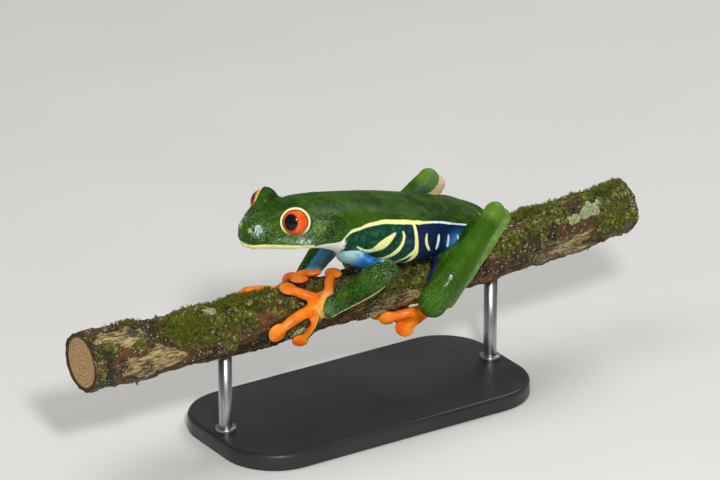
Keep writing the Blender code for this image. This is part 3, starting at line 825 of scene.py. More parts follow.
class Tree:
    """A material's nodes, with short ways to add them."""

    def __init__(self, name, **sockets):
        self.material = bpy.data.materials.new(name)
        self.material.use_nodes = True
        self.nodes = self.material.node_tree
        self.shader = self.nodes.nodes["Principled BSDF"]
        self.place = self.add("TexCoord", "Object")
        for key, value in sockets.items():
            self.set(key.replace("_", " "), value)

    def give(self, socket, value):
        if isinstance(value, Value):
            self.nodes.links.new(value.socket, socket)
        else:
            socket.default_value = value

    def set(self, name, value):
        self.give(self.shader.inputs[name], value)

    def add(self, kind, output, inputs=None, **settings):
        made = self.nodes.nodes.new("ShaderNode" + kind)
        for key, value in settings.items():
            setattr(made, key, value)
        for key, value in (inputs or {}).items():
            self.give(made.inputs[key], value)
        return Value(self, made.outputs[output])

    def __getitem__(self, name):
        """A measure that the mesh stores for each of its points."""
        return self.add("Attribute", "Fac", attribute_name=name)

    def calc(self, operation, a, b=0.0):
        return self.add("Math", 0, {0: a, 1: b}, operation=operation)

    def step(self, value, low, high):
        """0 below low, 1 above high and smooth between; low may be the larger."""
        inputs = {"Value": value, "From Min": low, "From Max": high}
        if low > high:
            inputs = {"Value": value, "From Min": high, "From Max": low, "To Min": 1.0, "To Max": 0.0}
        return self.add("MapRange", 0, inputs, interpolation_type="SMOOTHSTEP")

    def mix(self, share, *paints):
        """The second paint over the first, by a share of it."""
        a, b = (paint if isinstance(paint, Value) else srgb(*paint) for paint in paints)
        return self.add("Mix", 2, {0: share, 6: a, 7: b}, data_type="RGBA")

    def layers(self, paint, *rows):
        """A paint with others laid over it, each given by its share and its colour."""
        for share, colour in rows:
            paint = self.mix(share, paint, colour)
        return paint

    def noise(self, size_mm, detail, roughness=0.5, stretch=None):
        place = self.place
        if stretch:
            place = self.add("Mapping", 0, {"Vector": place, "Scale": stretch})
        inputs = {"Vector": place, "Scale": 1000 / size_mm, "Detail": detail, "Roughness": roughness}
        return self.add("TexNoise", "Fac", inputs)

    def cells(self, size_mm, feature="SMOOTH_F1", output="Distance", shift=0.0, **inputs):
        place = self.place
        if shift:
            place = self.add("VectorMath", 0, {0: place, 1: (shift, shift, shift)}, operation="ADD")
        inputs |= {"Vector": place, "Scale": 1000 / size_mm}
        return self.add("TexVoronoi", output, inputs, feature=feature)

    def bump(self, height, depth_mm, strength, **under):
        inputs = {"Height": height, "Distance": depth_mm * MM, "Strength": strength, **under}
        return self.add("Bump", 0, inputs)


def green_paint(t):
    """Leaf green with darker clouds, pale blooms, and pale specks on the grains that are painted wet
    highlights.
    """
    pale, grain = t["pale"], t["grain"]
    drum = t.step(t["ear"], 2.3, 1.0) * t.step(t.fine, 0.3, 0.6)
    glint_specks = []
    # Pale specks on the grains: painted highlights standing in for wet glints.
    for size, shift, low, high, share in ((0.44, 0.0, 0.36, 0.72, 0.75), (0.29, 3.3, 0.3, 0.66, 0.6)):
        chance = t.cells(size, "F1", "Color", shift) + pale * 0.3
        glint_speck = t.step(t.cells(size, "F1", shift=shift), 0.38, 0.2) * t.step(chance, low, high) * grain
        glint_specks.append((glint_speck * share, (176, 200, 160)))
    # A crowd of bluish-white specks in the snout's bloom: painted wet highlights.
    snout_glints = t.step(t.cells(0.6, "F1", shift=4.1), 0.56, 0.36) * t.step(pale, 0.6, 0.95)
    return t.layers(
        (22, 52, 1),
        (t.step(t.wide, 0.35, 0.65), (46, 82, 4)),
        (t.step(t.middle, 0.45, 0.75) * 0.45, (78, 112, 10)),
        (pale * t.step(t.fine, 0.25, 0.6) * 0.8, (116, 150, 116)),
        (drum * 0.8, (98, 134, 40)),
        *glint_specks,
        (snout_glints * t.step(t.fine, 0.3, 0.46) * 0.9, (208, 224, 222)),
    )


def flank_paint(t):
    """Teal in front and navy behind, with an azure patch near the thigh and painted highlights on the
    grains in front.
    """
    # Light teal specks on the front flank's grains: painted highlights.
    grains = t.step(t.cells(0.5, "F1", shift=2.3), 0.36, 0.2) * t.step(t.fine, 0.45, 0.6)
    lighter = t.step(t.noise(1.5, 3), 0.45, 0.7) * t.step(t.y, 0.011, 0.003)
    return t.layers(
        (14, 62, 42),
        (t.step(t.y + (t.middle - 0.5) * 0.006, 0.002, 0.0085), (20, 36, 68)),
        (t.step(t.y, 0.0105, 0.0150), (10, 28, 62)),
        (grains * t.step(t.y, 0.008, 0.002) * 0.5, (84, 150, 124)),
        (lighter * 0.75, (44, 106, 70)),
        (t["azure"] * 0.9, (60, 138, 205)),
    )


def body_paint(t, green):
    """Green above, pale-lined flanks, and white below."""
    ragged = (t.fine - 0.5) * 1.1
    white = t.step(t["belly_edge"] + ragged, 0.35, -0.35)
    throat = t.step(t.y + ragged * 0.0022, -0.0100, -0.0108)
    belly = t.layers(
        (236, 236, 222),
        (t.step(t.middle, 0.3, 0.7), (248, 247, 240)),
        (t.step(t.y, -0.0175, -0.0205) * 0.4, (236, 230, 208)),
    )
    wander = (t.noise(1.6, 1) - 0.5) * 0.32
    cream = t.mix(t.step(t.y, 0.010, 0.016), (238, 238, 158), (222, 236, 236))
    lip = t.mix(t.fine, (228, 232, 134), (248, 247, 176))
    gold = t["gold"] + (t.noise(0.5, 2) - 0.5) * 2.4
    lid = t.mix(t.step(t["eye_low"], 1.2, 2.9), (248, 238, 172), (96, 106, 36))
    return t.layers(
        flank_paint(t),
        (t.calc("MAXIMUM", white, throat), belly),
        (t.step(t["green_edge"] + wander, -0.12, 0.14), green),
        (t.step(t["cream"] + wander * 0.8, 0.1, -0.1), cream),
        (t.step(t["lip"] + wander * 0.4, 0.08, -0.1), lip),
        (t.step(gold, 0.85, 0.2) * 0.8, (206, 212, 108)),
        # Near black in the nostril pits: painted shade.
        (t.step(t["nostril"], 0.42, 0.24), (10, 16, 4)),
        (t.step(t["rim"], 0.10, 0.0) * t.step(t["socket"], 0.6, 0.8), lid),
    )


def orange_paint(t):
    """Hands and feet, with a peach-coloured base of the thumb."""
    return t.layers(
        (234, 100, 8),
        (t.step(t.middle, 0.3, 0.7), (251, 140, 26)),
        (t.step(t.wide, 0.45, 0.75) * 0.5, (252, 166, 70)),
        (t.step(t["thumb"] + t.ragged, 2.0, 0.7) * 0.75, (236, 186, 140)),
    )


def wrist_paint(t, colour):
    """A pale yellow band on the hand, partly its own colour and partly a painted highlight, and a green
    mottle on the forearm's end.
    """
    reach = t["wrist"] + t.ragged * 0.8
    # The pale yellow band is partly the hand's own colour and partly a painted highlight.
    yellow = t.mix(t.step(t.noise(0.9, 3), 0.4, 0.62), (246, 184, 74), (234, 226, 122))
    band = t.step(reach, 3.9, 2.2) * t.step(t["w_hand"], 0.3, 0.7)
    mottle = t.step(reach, 3.2, 1.9) * t.step(t["w_forearm"], 0.3, 0.7) * t.step(t.fine, 0.3, 0.6)
    return t.layers(colour, (band * 0.8, yellow), (mottle * 0.3, (110, 158, 104)))


def arm_paints(t, green):
    """The blue upper arm, pale cyan near the shoulder, with painted shade towards the elbow and on its
    lower side; and the green forearm, blue on its inner side with a painted highlight along its innermost
    edge.
    """
    side = t["limb_side"]
    along = t["limb_along"] + (t.noise(1.7, 3) - 0.5) * 0.5
    streaks = t.noise(1.1, 3, stretch=(0.6, 0.6, 1.6))
    blue = t.mix(t.step(streaks, 0.3, 0.7), (22, 74, 150), (64, 138, 208))
    # Pale cyan: near the shoulder partly the arm's own pale blue and partly a painted highlight; on the
    # forearm's innermost edge a painted highlight.
    cyan_and_highlight = t.mix(t.step(t.middle, 0.3, 0.7), (112, 190, 208), (196, 226, 226))
    upper = t.layers(
        cyan_and_highlight,
        (t.step(along, 0.14, 0.48), blue),
        # Painted shade: darker blue towards the elbow, and dark teal on the upper arm's lower side.
        (t.step(along, 0.48, 0.92), (10, 50, 78)),
        (t.step(side, 0.1, 0.95) * 0.55, (14, 66, 70)),
    )
    fringe = t.step(t["limb_low"], 0.974, 0.988) * t.step(t["limb_along"], 0.05, 0.25)
    fore = t.layers(
        cyan_and_highlight,
        (t.step(side, -0.9, -0.4), (94, 184, 255)),
        (t.step(side + (t.fine - 0.5) * 0.3, -0.14, 0.06), green),
        (fringe * 0.85, (218, 216, 140)),
    )
    return {"upper_arm": upper, "forearm": fore}


def leg_paints(t, green, orange):
    """Thigh, shank, tarsus and foot, green outside and blue or orange inside."""
    side = t["limb_side"] + (t.middle - 0.5) * 0.35
    clouds = t.step(t.middle, 0.3, 0.7)
    blue = t.mix(clouds, (18, 24, 62), (34, 48, 108))
    reach = t.y + (t.noise(2.8, 4) - 0.5) * 0.012
    thigh = t.mix(t.step(side, 0.62, 0.8), t.mix(t.step(reach, 0.0205, 0.0265), blue, orange), green)
    knob = t.step(t["limb_along"] + (t.fine - 0.5) * 0.1, 0.86, 0.96)
    shank = t.layers(
        t.mix(0.5, blue, (70, 108, 60)),
        (t.step(side, -0.75, -0.35), t.mix(0.45, green, (60, 102, 8))),
        (knob * 0.55, (110, 148, 52)),
    )
    pale = t.mix(clouds, (80, 122, 34), (124, 158, 72))
    inner = t.mix(t.step(t.middle, 0.35, 0.65), (226, 190, 130), (214, 204, 176))
    edge = t.step(t.calc("ABSOLUTE", side - 0.05), 0.16, 0.06)
    # A pale line along the tarsus's rear edge: partly its own pale tarsal line and partly a painted
    # highlight.
    rear = t.step(t.calc("ABSOLUTE", t["limb_low"] - 0.75), 0.09, 0.03) * t.step(side, 0.3, 0.5)
    edge = t.calc("MAXIMUM", edge, rear)
    tarsus = t.layers(inner, (t.step(side, -0.2, 0.1), pale), (edge * 0.8, (216, 226, 190)))
    near_instep = t.step(t["instep"] + t.fine, 7.0, 4.5)
    foot = t.layers(orange, (t.step(side, 0.1, 0.6) * 0.8, pale), (near_instep * 0.9, pale))
    return {"thigh": thigh, "shank": shank, "tarsus": tarsus, "foot": foot}


def skin_relief(t):
    """Moist grains and fine creases, and the roughness that goes with them."""
    near, small = t.cells(0.46, Smoothness=0.4), t.cells(0.27, Smoothness=0.5, shift=1.7)
    height = t.step(near, 0.6, 0.05) * 0.75 + t.step(small, 0.6, 0.05) * 0.25
    depth = height * (t["grain"] * 0.8 + 0.2)
    creases = t.bump(t.noise(1.4, 4, 0.6), 0.10, 0.4)
    t.set("Normal", t.bump(depth, 0.10, 0.85, Normal=creases))
    t.set("Coat Normal", t.bump(depth, 0.08, 0.7))
    t.set("Roughness", t.fine * 0.26 + 0.4)
    wet = (t["w_hand"] + t["w_toes"]) * 1.8 + t["w_shank"] * 0.8
    t.set("Coat Weight", (wet + t["grain"]) * 0.26 + 0.08)


def skin_material():
    t = Tree("frog_skin", Coat_Roughness=0.1, Coat_IOR=1.36, Specular_IOR_Level=0.06)
    t.set("Subsurface Weight", 0.05)
    t.set("Subsurface Radius", (0.5, 0.4, 0.2))
    t.set("Subsurface Scale", 0.0012)
    t.y = t.add("SeparateXYZ", 1, {0: t.place})
    t.wide, t.middle, t.fine = t.noise(9, 3), t.noise(2.4, 3), t.noise(0.7, 2)
    t.ragged = (t.noise(1.5, 3) - 0.5) * 2.4
    green, orange, outer = green_paint(t), orange_paint(t), t["outer"]
    hand = t.layers(orange, (t.step(outer, 0.1, 0.4), (240, 196, 92)), (t.step(outer, 0.45, 0.75), green))
    paints = arm_paints(t, green) | leg_paints(t, green, orange) | {"hand": hand, "toes": orange}
    colour = body_paint(t, green)
    for name, paint in paints.items():
        share = t["w_" + name] + (t.fine - 0.5) * 0.5
        colour = t.mix(t.step(share, 0.15, 0.38), colour, paint)
    t.set("Base Color", wrist_paint(t, colour))
    skin_relief(t)
    return t.material


# ---------------------------------------------------------------- eyes
def eye_material():
    t = Tree("eye", Roughness=0.3, Coat_Weight=0.75, Coat_Roughness=0.015, Coat_IOR=1.36)
    t.set("Specular IOR Level", 0.1)
    across, up, pupil = t["across"], t["up"], t["pupil"]
    reach = t.calc("SQRT", across * across + up * up)
    spokes = t.add("CombineXYZ", 0, {0: t["spoke_x"], 1: t["spoke_y"], 2: reach * 0.12})
    inputs = {"Vector": spokes, "Scale": 7.0, "Detail": 5.0, "Roughness": 0.62}
    fibres = t.add("TexNoise", "Fac", inputs)
    colour = t.layers(
        (226, 62, 6),
        (t.step(fibres, 0.34, 0.66), (252, 112, 28)),
        (t.step(t.noise(1.3, 3), 0.45, 0.75) * 0.45, (254, 138, 50)),
        # Painted shade: the iris darker red towards its rim, for depth.
        (t.step(reach, 2.1, 2.9) * 0.35, (212, 46, 6)),
        (t.step(pupil, 1.22, 1.02) * 0.65, (120, 16, 4)),
        (t.step(pupil + (fibres - 0.5) * 0.05, 1.02, 0.98), (5, 7, 16)),
        # Painted shade: dark brown where the ball meets the lids.
        (t.step(t["opening"], 1.6, 1.26), (34, 14, 8)),
    )
    t.set("Base Color", colour)
    t.set("Normal", t.bump(fibres, 0.03, 0.4))
    return t.material


def make_eye(side, finish):
    """A ball with its pole on the pupil."""
    centre, radius = eye_centre(side), eye_radius()
    look = gaze(SIGNS[side], PUPIL_AZIMUTH, PUPIL_ELEVATION)
    right = unit(np.cross((0, 0, 1.0), look))
    above = np.cross(look, right)
    rings, segments = 72, 96
    polar = np.repeat(math.pi * np.arange(1, rings) / rings, segments)[:, None]
    turn = np.tile(2 * math.pi * np.arange(segments) / segments, rings - 1)[:, None]
    flat = right * np.cos(turn) + above * np.sin(turn)
    local = np.vstack([look, look * np.cos(polar) + flat * np.sin(polar), -look]) * radius
    last = len(local) - 1
    sides = net(rings - 1, segments, start=1)[:, ::-1]
    front, rear = fan(0, segments, 1), fan(last, segments, last - segments)[:, ::-1]
    made = mesh_from("eye_ball_" + side, centre + local, sides, front, rear)
    across, up, deep = local @ right, local @ above, local @ look
    reach = np.maximum(np.hypot(across, up), 1e-6)
    pupil = np.hypot(across / PUPIL_HALF_WIDTH, up / PUPIL_HALF_HEIGHT)
    found = {
        "across": across,
        "up": up,
        "spoke_x": across / reach,
        "spoke_y": up / reach,
        "pupil": np.where(deep > 0, pupil, 9),
        "opening": local @ gaze(SIGNS[side]),
    }
    store(made, found)
    made.data.materials.append(finish)
    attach(made, "root")
    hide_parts("eye_" + side)
    return made


# ---------------------------------------------------------------- branch
def knots(y, a):
    """How far the branch is pinched in, along it and round it."""
    bumps = 0.25 * np.sin(0.16 * y) + 0.2 * np.sin(0.41 * y + 1)
    bumps += 0.18 * np.sin(3 * a + 0.21 * y) + 0.12 * np.sin(5 * a - 0.33 * y)
    return np.minimum(0, bumps - 0.25)


def even_ring(y, a, reach=6.5):
    """Points of a plain round branch, for noise that isn't stretched."""
    return np.stack([reach * np.sin(a), y, reach * np.cos(a)], -1)


def plain_radius(y, a):
    """The branch's radius under its bark."""
    return BRANCH_RADIUS + BRANCH_FLARE * np.abs(y) + knots(y, a)


def bark_radius(y, a):
    """The branch's radius with its rough, crusted bark."""
    even = even_ring(y, a, BRANCH_RADIUS)
    around = even * (1, 0.22, 1)
    ridges = 1 - np.abs(lattice(around, 1.5, 11)) * 2
    plates = lattice(around * (1, 2.2, 1), 3.2, 12)
    lumps = lattice(even, 3.4, 13) + 0.5 * lattice(even, 1.6, 14)
    crust = smooth(lattice(even, 1.2, 15), -0.1, 0.7) + 0.6 * smooth(lattice(even, 0.66, 16), -0.1, 0.7)
    rough = 0.12 * ridges + 0.2 * plates + 0.24 * lumps + 0.26 * crust - 0.22
    return plain_radius(y, a) + rough


# Growths on the bark: Y, degrees from the top towards +X, and half sizes in mm and degrees.
MOSS_SPOTS = ((-45, 30, 13, 65), (-28, 0, 9, 60), (-8, 40, 12, 60), (14, 70, 12, 60))
MOSS_SPOTS += ((36, 45, 8, 50), (50, 0, 9, 55), (70, 60, 8, 50))
TUFT_SPOTS = ((-63, -6, 3.2, 14), (-29, -8, 5, 20), (-38, -2, 3, 16), (46, -8, 5, 20))
TUFT_SPOTS += ((70, -2, 4, 22), (30, -15, 4, 16), (-50, 40, 6, 30))
LICHEN_SPOTS = ((-41.7, 14, 3.6, 16), (62.5, 40, 4.6, 22), (57, 52, 2.4, 14))
LICHEN_SPOTS += ((-20, 120, 4, 30), (48, -60, 6, 50), (-62, -80, 6, 50))
FIBRE_SPOTS = ((-66, 28, 8, 30), (-60, 95, 12, 40), (8, 120, 16, 40), (55, 110, 14, 40))
# Small leaves on each shoot of moss, beside the shoot itself.
LEAVES = 6
# How wide a shoot's patch of the texture is.
PATCH = 0.003


def patches(y, a, spots):
    """How much of a growth there is."""
    total = np.zeros(len(y))
    for at, degrees, long, wide in spots:
        turn = (np.degrees(a) - degrees + 180) % 360 - 180
        total = np.maximum(total, np.exp(-(((y - at) / long) ** 2) - (turn / wide) ** 2))
    return total


def branch_point(y, a, radius):
    """A point of the branch at a turn from its top towards +X, in radians."""
    return np.stack([radius * np.sin(a), y, axis_z(y) + radius * np.cos(a)], -1)


def branch_growth(y, a):
    """Shares of moss, lichen and pale fibrous wood."""
    even = even_ring(y, a)
    cloud = lattice(even, 4.6, 21) + 0.7 * lattice(even, 2.0, 22) + 0.5 * lattice(even, 0.9, 23)
    upper = 0.22 * np.cos(a - 0.4)
    fibre = smooth(patches(y, a, FIBRE_SPOTS) + 0.3 * lattice(even * (1, 0.3, 1), 1.2, 24), 0.45, 0.8)
    moss = smooth(patches(y, a, MOSS_SPOTS) * 0.85 + 0.5 * cloud + upper - 0.7 * fibre, 0.22, 0.66)
    moss *= smooth(digits_distance(branch_point(y, a, BRANCH_RADIUS + 0.2)), 0.1, 1.3)
    lichen = patches(y, a, LICHEN_SPOTS) + 0.3 * lattice(even, 1.8, 25) + 0.25 * lattice(even, 0.8, 26)
    lichen = smooth(lichen, 0.55, 0.68)
    return moss * (1 - lichen), lichen, fibre * (1 - lichen)


def digits_distance(points):
    """Distance to the nearest hand or foot, where it is near."""
    best = np.full(len(points), 5.0)
    for name, part in PARTS.items():
        if name.startswith(("finger_", "toe_", "palm_", "foot_")):
            low, high = part["path"].min(0) - 4, part["path"].max(0) + 4
            near = ((points > low) & (points < high)).all(1)
            best[near] = np.minimum(best[near], part_distance(points[near], name))
    return best


def branch_radius(y, a, moss, lichen):
    even = even_ring(y, a)
    mossy = 0.14 + 0.24 * lattice(even, 0.95, 31) + 0.16 * lattice(even, 0.5, 32)
    return bark_radius(y, a) + moss * mossy + lichen * (0.10 + 0.14 * lattice(even, 0.6, 33))


def make_branch(finish, cut_finish):
    step = 0.25
    rows = int(2 * BRANCH_HALF_LENGTH / step) + 1
    columns = int(2 * math.pi * BRANCH_RADIUS / step)
    y = np.repeat(np.linspace(-BRANCH_HALF_LENGTH, BRANCH_HALF_LENGTH, rows), columns)
    a = np.tile(np.linspace(0, 2 * math.pi, columns, endpoint=False), rows)
    moss, lichen, fibre = branch_growth(y, a)
    radius = branch_radius(y, a, moss, lichen)
    points = branch_point(y, a, radius)
    made = mesh_from("bark", points, net(rows, columns))
    relief = radius - plain_radius(y, a)
    store(made, {"moss": moss, "lichen": lichen, "fibre": fibre, "relief": relief})
    made.data.materials.append(finish)
    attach(made, "root")
    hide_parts("branch")
    make_cut("cut_front", points[:columns], -1, cut_finish)
    make_cut("cut_back", points[-columns:], 1, cut_finish)


def spindles(roots, ways, lengths, widths):
    """Small closed leaves, each a three-sided spindle from its root along its way."""
    side = unit_rows(np.cross(ways, (0.31, 0.52, 0.79)))
    other = np.cross(ways, side)
    middle = roots + ways * (lengths * 0.4)[:, None]
    rings = []
    for turn in 2 * math.pi * np.arange(3) / 3:
        rings.append(middle + (side * math.cos(turn) + other * math.sin(turn)) * widths[:, None])
    points = np.stack([roots, *rings, roots + ways * lengths[:, None]], 1)
    start = 5 * np.arange(len(roots))[:, None, None]
    faces = np.array([(0, 2, 1), (0, 3, 2), (0, 1, 3), (4, 1, 2), (4, 2, 3), (4, 3, 1)])
    return points.reshape(-1, 3), (start + faces).reshape(-1, 3)


def unit_rows(rows):
    return rows / np.linalg.norm(rows, axis=1, keepdims=True)


def moss_roots(chance):
    """Where the shoots stand, as Y, turn, size of their tuft, and their roots."""
    tries = 60000
    y = chance.uniform(-74.3, 74.3, tries)
    a = chance.uniform(0, 2 * math.pi, tries)
    moss, lichen, _ = branch_growth(y, a)
    tuft = patches(y, a, TUFT_SPOTS)
    clear = smooth(digits_distance(branch_point(y, a, BRANCH_RADIUS + 0.4)), 0.9, 2.0)
    wish = np.clip(0.10 * moss + 1.1 * tuft**1.5, 0, 1) * (1 - lichen) * clear
    kept = np.flatnonzero(chance.uniform(0, 1, tries) < wish)[: 4400]
    y, a, tuft, moss, lichen = (values[kept] for values in (y, a, tuft, moss, lichen))
    return y, a, tuft, branch_point(y, a, branch_radius(y, a, moss, lichen) - 0.15)


def add_patches(made, faces, y, a):
    """Gives each shoot of moss a small patch of the texture, which its leaves share."""
    place = np.stack([(y + BRANCH_HALF_LENGTH) / 155 + 0.01, a / (2 * math.pi) * 0.96 + 0.01], -1)
    corner = np.array([(0, 0), (1, 0), (0, 1), (1, 1), (0.5, 0.5)]) * PATCH
    spot = (np.tile(place, (LEAVES + 1, 1))[:, None] + corner).reshape(-1, 2)
    layer = made.data.uv_layers.new(name="OFBake")
    layer.data.foreach_set("uv", spot[faces.ravel()].astype(np.float32).ravel())


def make_moss(finish):
    """Leafy shoots of moss that stand up where the moss is thickest, as one closed mesh of leaves."""
    chance = np.random.default_rng(7)
    y, a, tuft, roots = moss_roots(chance)
    count = len(y)
    up = np.stack([np.sin(a), np.zeros(count), np.cos(a)], -1)
    stems = unit_rows(up + chance.normal(0, 0.35, (count, 3)))
    tall = 0.45 + 0.7 * tuft + chance.uniform(0, 0.3, count)
    leaves = [(roots, stems, tall, np.full(count, 0.06))]
    across = unit_rows(np.cross(stems, (0.2, 0.9, 0.1)))
    for n in range(LEAVES):
        turn = n * 2.4 + chance.uniform(-0.4, 0.4, count)
        spread = across * np.cos(turn)[:, None] + np.cross(stems, across) * np.sin(turn)[:, None]
        start = roots + stems * (tall * (0.2 + 0.13 * n))[:, None]
        way = unit_rows(spread * 0.8 + stems * 0.75)
        leaves.append((start, way, 0.3 + 0.22 * tall, np.full(count, 0.085)))
    points, faces = spindles(*(np.concatenate(column) for column in zip(*leaves)))
    made = mesh_from("moss", points, faces, smooth=False)
    tone = np.tile(chance.uniform(0, 1, count), LEAVES + 1)
    store(made, {"tone": np.repeat(tone, 5), "tip": np.tile((0, 0.5, 0.5, 0.5, 1), len(tone))})
    add_patches(made, faces, y, a)
    made.data.materials.append(finish)
    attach(made, "root")


def make_cut(name, rim, way, finish):
    """The sawn end of the branch, a little dished, with its rim shared with the bark."""
    y, n = rim[0, 1], len(rim)
    centre = np.array((0, y, axis_z(y)))
    shares = np.linspace(1, 0, 22)[:-1]
    points = np.vstack([centre + (rim - centre) * s for s in shares] + [centre])
    away = 1 - np.append(np.repeat(shares, n), 0)
    grain = 0.05 * lattice(points * (1, 0, 1), 0.8, 41) * (away > 0)
    points[:, 1] += way * (-0.25 * smooth(away, 0, 0.12) + grain)
    last = len(points) - 1
    middle = fan(last, n, last - n)
    made = mesh_from(name, points, net(len(shares), n)[:, ::-way], middle[:, ::-way])
    store(made, {"ring": np.linalg.norm((points - centre)[:, [0, 2]], axis=1)})
    made.data.materials.append(finish)
    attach(made, "root")


def moss_paint(t, fine):
    return t.layers(
        (28, 34, 3),
        (t.step(fine, 0.36, 0.62), (94, 98, 14)),
        (t.step(t.noise(1.3, 3), 0.48, 0.7) * 0.8, (156, 146, 34)),
        (t.step(t.noise(6, 2), 0.5, 0.7) * 0.6, (38, 46, 6)),
    )


def bark_material():
    t = Tree("mossy_bark", Specular_IOR_Level=0.4)
    streaks = t.noise(1.3, 5, 0.65, stretch=(1.0, 0.22, 1.0))
    strands = t.noise(0.5, 4, 0.6, stretch=(1.0, 0.12, 1.0))
    fine, grit = t.noise(0.6, 4, 0.65), t.noise(0.3, 4, 0.7)
    uneven = fine - 0.5
    fibres = t.mix(t.step(strands, 0.4, 0.6), (96, 74, 34), (190, 168, 112))
    crust = t.mix(t.step(fine, 0.35, 0.65), (118, 130, 84), (178, 184, 136))
    # Small wet beads: their whitish colour is a painted glint, and they also raise the bump and lower the
    # roughness.
    bead_and_glint = t.step(t.cells(0.74, "F1", shift=5.3), 0.3, 0.16) * t.step(t.noise(2.6, 2), 0.43, 0.57)
    colour = t.layers(
        (46, 28, 10),
        (t.step(streaks, 0.35, 0.65), (104, 70, 28)),
        (t.step(t.noise(5, 3), 0.5, 0.66) * 0.7, (140, 84, 26)),
        (t.step(t.noise(2.6, 4), 0.5, 0.66) * 0.75, (72, 70, 18)),
        (t.step(t["fibre"] + uneven, 0.4, 0.7), fibres),
        (t.step(t["moss"] + uneven * 0.9, 0.3, 0.55), moss_paint(t, fine)),
        # Painted shade: near black in the bark's hollows, where the relief is low.
        (t.step(t["relief"] + uneven * 0.4, 0.12, -0.4) * 0.85, (14, 13, 4)),
        (t.step(t["lichen"] + uneven * 0.6, 0.4, 0.6), crust),
        # Painted glints on the wet beads.
        (bead_and_glint * 0.9, (214, 212, 190)),
    )
    t.set("Base Color", colour)
    t.set("Normal", t.bump(grit * 0.5 + fine * 0.7 + bead_and_glint * 0.5, 0.4, 0.9))
    damp = t.calc("MAXIMUM", t.step(t.noise(3.0, 3), 0.45, 0.6), bead_and_glint)
    t.set("Roughness", t.calc("SUBTRACT", 0.78, damp * 0.52))
    return t.material


def moss_material():
    t = Tree("moss", Roughness=0.6, Specular_IOR_Level=0.35)
    colour = t.layers(
        (24, 32, 3),
        (t.step(t["tip"], 0.1, 0.9), t.mix(t["tone"], (74, 88, 10), (150, 152, 34))),
        (t.step(t.noise(5, 2), 0.5, 0.7) * 0.5, (52, 74, 12)),
    )
    t.set("Base Color", colour)
    t.set("Normal", t.bump(t.noise(0.2, 2), 0.02, 0.4))
    return t.material


def cut_material():
    t = Tree("cut_wood", Roughness=0.75, IOR=1.45)
    ring = t["ring"]
    bands = t.calc("FRACT", (ring + (t.noise(3.0, 3) - 0.5) * 1.6) * 1.15)
    line = t.step(bands, 0.55, 0.95) * t.step(bands, 1.0, 0.95)
    wood = t.layers(
        (168, 132, 84),
        (t.step(t.noise(0.5, 4), 0.3, 0.7), (198, 164, 114)),
        (line * 0.7, (118, 82, 46)),
        (t.step(ring, 5.5, 6.1), (58, 40, 22)),
    )
    t.set("Base Color", wood)
    t.set("Normal", t.bump(t.noise(0.25, 3) + line * -0.5, 0.08, 0.6))
    return t.material


# ---------------------------------------------------------------- stand
# The collars' outline: how many rod radii wide, and millimetres over the base.
COLLAR = ((1.5, -0.2), (1.55, 0.0), (1.55, 0.75), (1.45, 0.95), (1.1, 1.0), (1.02, 1.0))


def rounded_outline(half_x, half_y, corner, count=14):
    points = []
    for sx, sy, start in ((1, 1, 0), (-1, 1, 90), (-1, -1, 180), (1, -1, 270)):
        centre = Vector((sx * (half_x - corner), sy * (half_y - corner)))
        for k in range(count + 1):
            angle = math.radians(start + 90 * k / count)
            points.append(centre + Vector((math.cos(angle), math.sin(angle))) * corner)
    return points


def loft(name, loops, finish, node):
    """A closed body from outlines of equal length in metres, from the lowest to the highest."""
    grown = bmesh.new()
    rings = [[grown.verts.new(Vector(p)) for p in loop] for loop in loops]
    for low, high in zip(rings, rings[1:]):
        for j in range(len(low)):
            k = (j + 1) % len(low)
            grown.faces.new((low[j], low[k], high[k], high[j])).smooth = True
    grown.faces.new(rings[0][::-1])
    grown.faces.new(rings[-1])
    data = bpy.data.meshes.new(name)
    grown.to_mesh(data)
    grown.free()
    made = bpy.data.objects.new(name, data)
    bpy.context.scene.collection.objects.link(made)
    data.materials.append(finish)
    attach(made, "root")
    if node:
        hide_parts(node)
    return made


def make_base(finish):
    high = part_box("stand_base")[1]
    edge, corner = 0.0009, 0.013
    steps = [(0.0003, 0.0), (0.0, 0.0003), (0.0, high.z - edge)]
    for a in np.radians((22.5, 45, 67.5, 90)):
        steps.append((edge * (1 - math.cos(a)), high.z - edge * (1 - math.sin(a))))
    loops = []
    for inset, z in steps:
        outline = rounded_outline(high.x - inset, high.y - inset, corner - inset)
        loops.append([(x, y, z) for x, y in outline])
    return loft("base_plate", loops, finish, "stand_base")


def turned(name, x, y, profile, finish, node, sides=48):
    """A turned piece from radius and height pairs, in metres."""
    angles = [2 * math.pi * k / sides for k in range(sides)]
    loops = [[(x + r * math.cos(a), y + r * math.sin(a), z) for a in angles] for r, z in profile]
    return loft(name, loops, finish, node)


def make_rods(finish):
    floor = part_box("stand_base")[1].z
    for name in ("front", "back"):
        low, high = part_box("stand_rod_" + name)
        x, y, radius = (low.x + high.x) / 2, (low.y + high.y) / 2, (high.x - low.x) / 2
        profile = [(radius, floor - 0.0015), (radius, floor + 0.002), (radius, high.z)]
        turned("rod_" + name, x, y, profile, finish, "stand_rod_" + name)
        collar = [(r * radius, floor + z * MM) for r, z in COLLAR]
        turned("collar_" + name, x, y, collar, finish, None)


def paint_material():
    t = Tree("black_paint", Roughness=0.42, Coat_Weight=0.15, Coat_Roughness=0.3)
    t.set("Base Color", t.mix(t.step(t.noise(14, 3), 0.35, 0.7), (24, 24, 26), (34, 34, 37)))
    t.set("Normal", t.bump(t.noise(0.35, 2), 0.02, 0.35))
    t.set("Roughness", t.noise(2.5, 3) * 0.16 + 0.36)
    return t.material


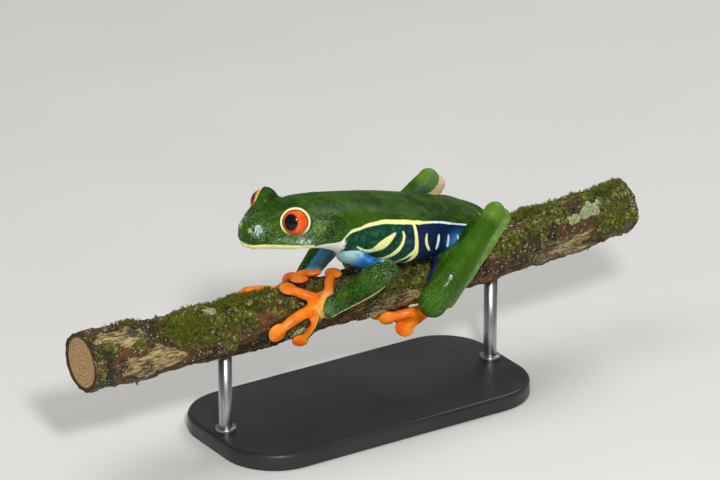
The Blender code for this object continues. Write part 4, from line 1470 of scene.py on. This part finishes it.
def steel_material():
    t = Tree("brushed_steel", Metallic=1.0, Roughness=0.3)
    brush = t.noise(0.25, 3, stretch=(1.0, 1.0, 0.03))
    t.set("Base Color", t.mix(t.step(brush, 0.3, 0.7), (150, 151, 154), (196, 197, 200)))
    t.set("Normal", t.bump(brush, 0.015, 0.4))
    t.set("Roughness", brush * 0.2 + 0.22)
    return t.material


# ---------------------------------------------------------------- stage
FLOOR = 6.0
LAMPS_TARGET = (0, 0, 0.045)
# Name, azimuth, elevation, distance, size, power, and whether glossy surfaces mirror it.
LAMPS = (
    ("key", 66, 36, 0.7, 0.09, 3.3, True),
    ("soft", -10, 66, 0.8, 0.6, 2.0, False),
    ("rim", 200, 50, 0.8, 0.45, 2.2, True),
)
CAMERA_TARGET = Vector((-4.0, 2.6, 11.1 + BRANCH_HEIGHT)) * MM


def make_stage():
    data = bpy.data.meshes.new("floor")
    corners = [(-FLOOR, -FLOOR, 0), (FLOOR, -FLOOR, 0), (FLOOR, FLOOR, 0), (-FLOOR, FLOOR, 0)]
    data.from_pydata(corners, [], [(0, 1, 2, 3)])
    floor = bpy.data.objects.new("floor", data)
    bpy.context.scene.collection.objects.link(floor)
    t = Tree("floor", Roughness=0.7)
    t.set("Base Color", t.mix(t.noise(60, 2), (214, 213, 208), (220, 219, 215)))
    data.materials.append(t.material)
    world = bpy.data.worlds.new("studio")
    bpy.context.scene.world = world
    world.use_nodes = True
    colour, strength = world.node_tree.nodes["Background"].inputs[:2]
    colour.default_value = (0.86, 0.87, 0.88, 1)
    strength.default_value = 0.28


def look_from(made, azimuth, elevation, distance, target):
    """Links an object and points it at a target from round the frog."""
    a, e = math.radians(azimuth), math.radians(elevation)
    back = Vector((math.sin(a) * math.cos(e), -math.cos(a) * math.cos(e), math.sin(e)))
    made.location = Vector(target) + back * distance
    made.rotation_mode = "QUATERNION"
    made.rotation_quaternion = back.to_track_quat("Z", "Y")
    bpy.context.scene.collection.objects.link(made)


def make_lamp(name, azimuth, elevation, distance, size, power, seen):
    light = bpy.data.lights.new(name, "AREA")
    light.shape = "DISK"
    light.size = size
    light.energy = power
    made = bpy.data.objects.new(name, light)
    made.visible_glossy = seen
    look_from(made, azimuth, elevation, distance, LAMPS_TARGET)


def make_camera():
    data = bpy.data.cameras.new("camera")
    data.sensor_width = 36
    data.lens = 236
    data.clip_start, data.clip_end = 0.01, 50
    made = bpy.data.objects.new("camera", data)
    look_from(made, azimuth=57, elevation=23, distance=1.1, target=CAMERA_TARGET)
    bpy.context.scene.camera = made


def main():
    make_camera()
    make_stage()
    for lamp in LAMPS:
        make_lamp(*lamp)
    bpy.context.scene.view_settings.view_transform = "Standard"
    make_skin(skin_material())
    finish = eye_material()
    for side in SIGNS:
        make_eye(side, finish)
    make_branch(bark_material(), cut_material())
    make_moss(moss_material())
    make_base(paint_material())
    make_rods(steel_material())


main()
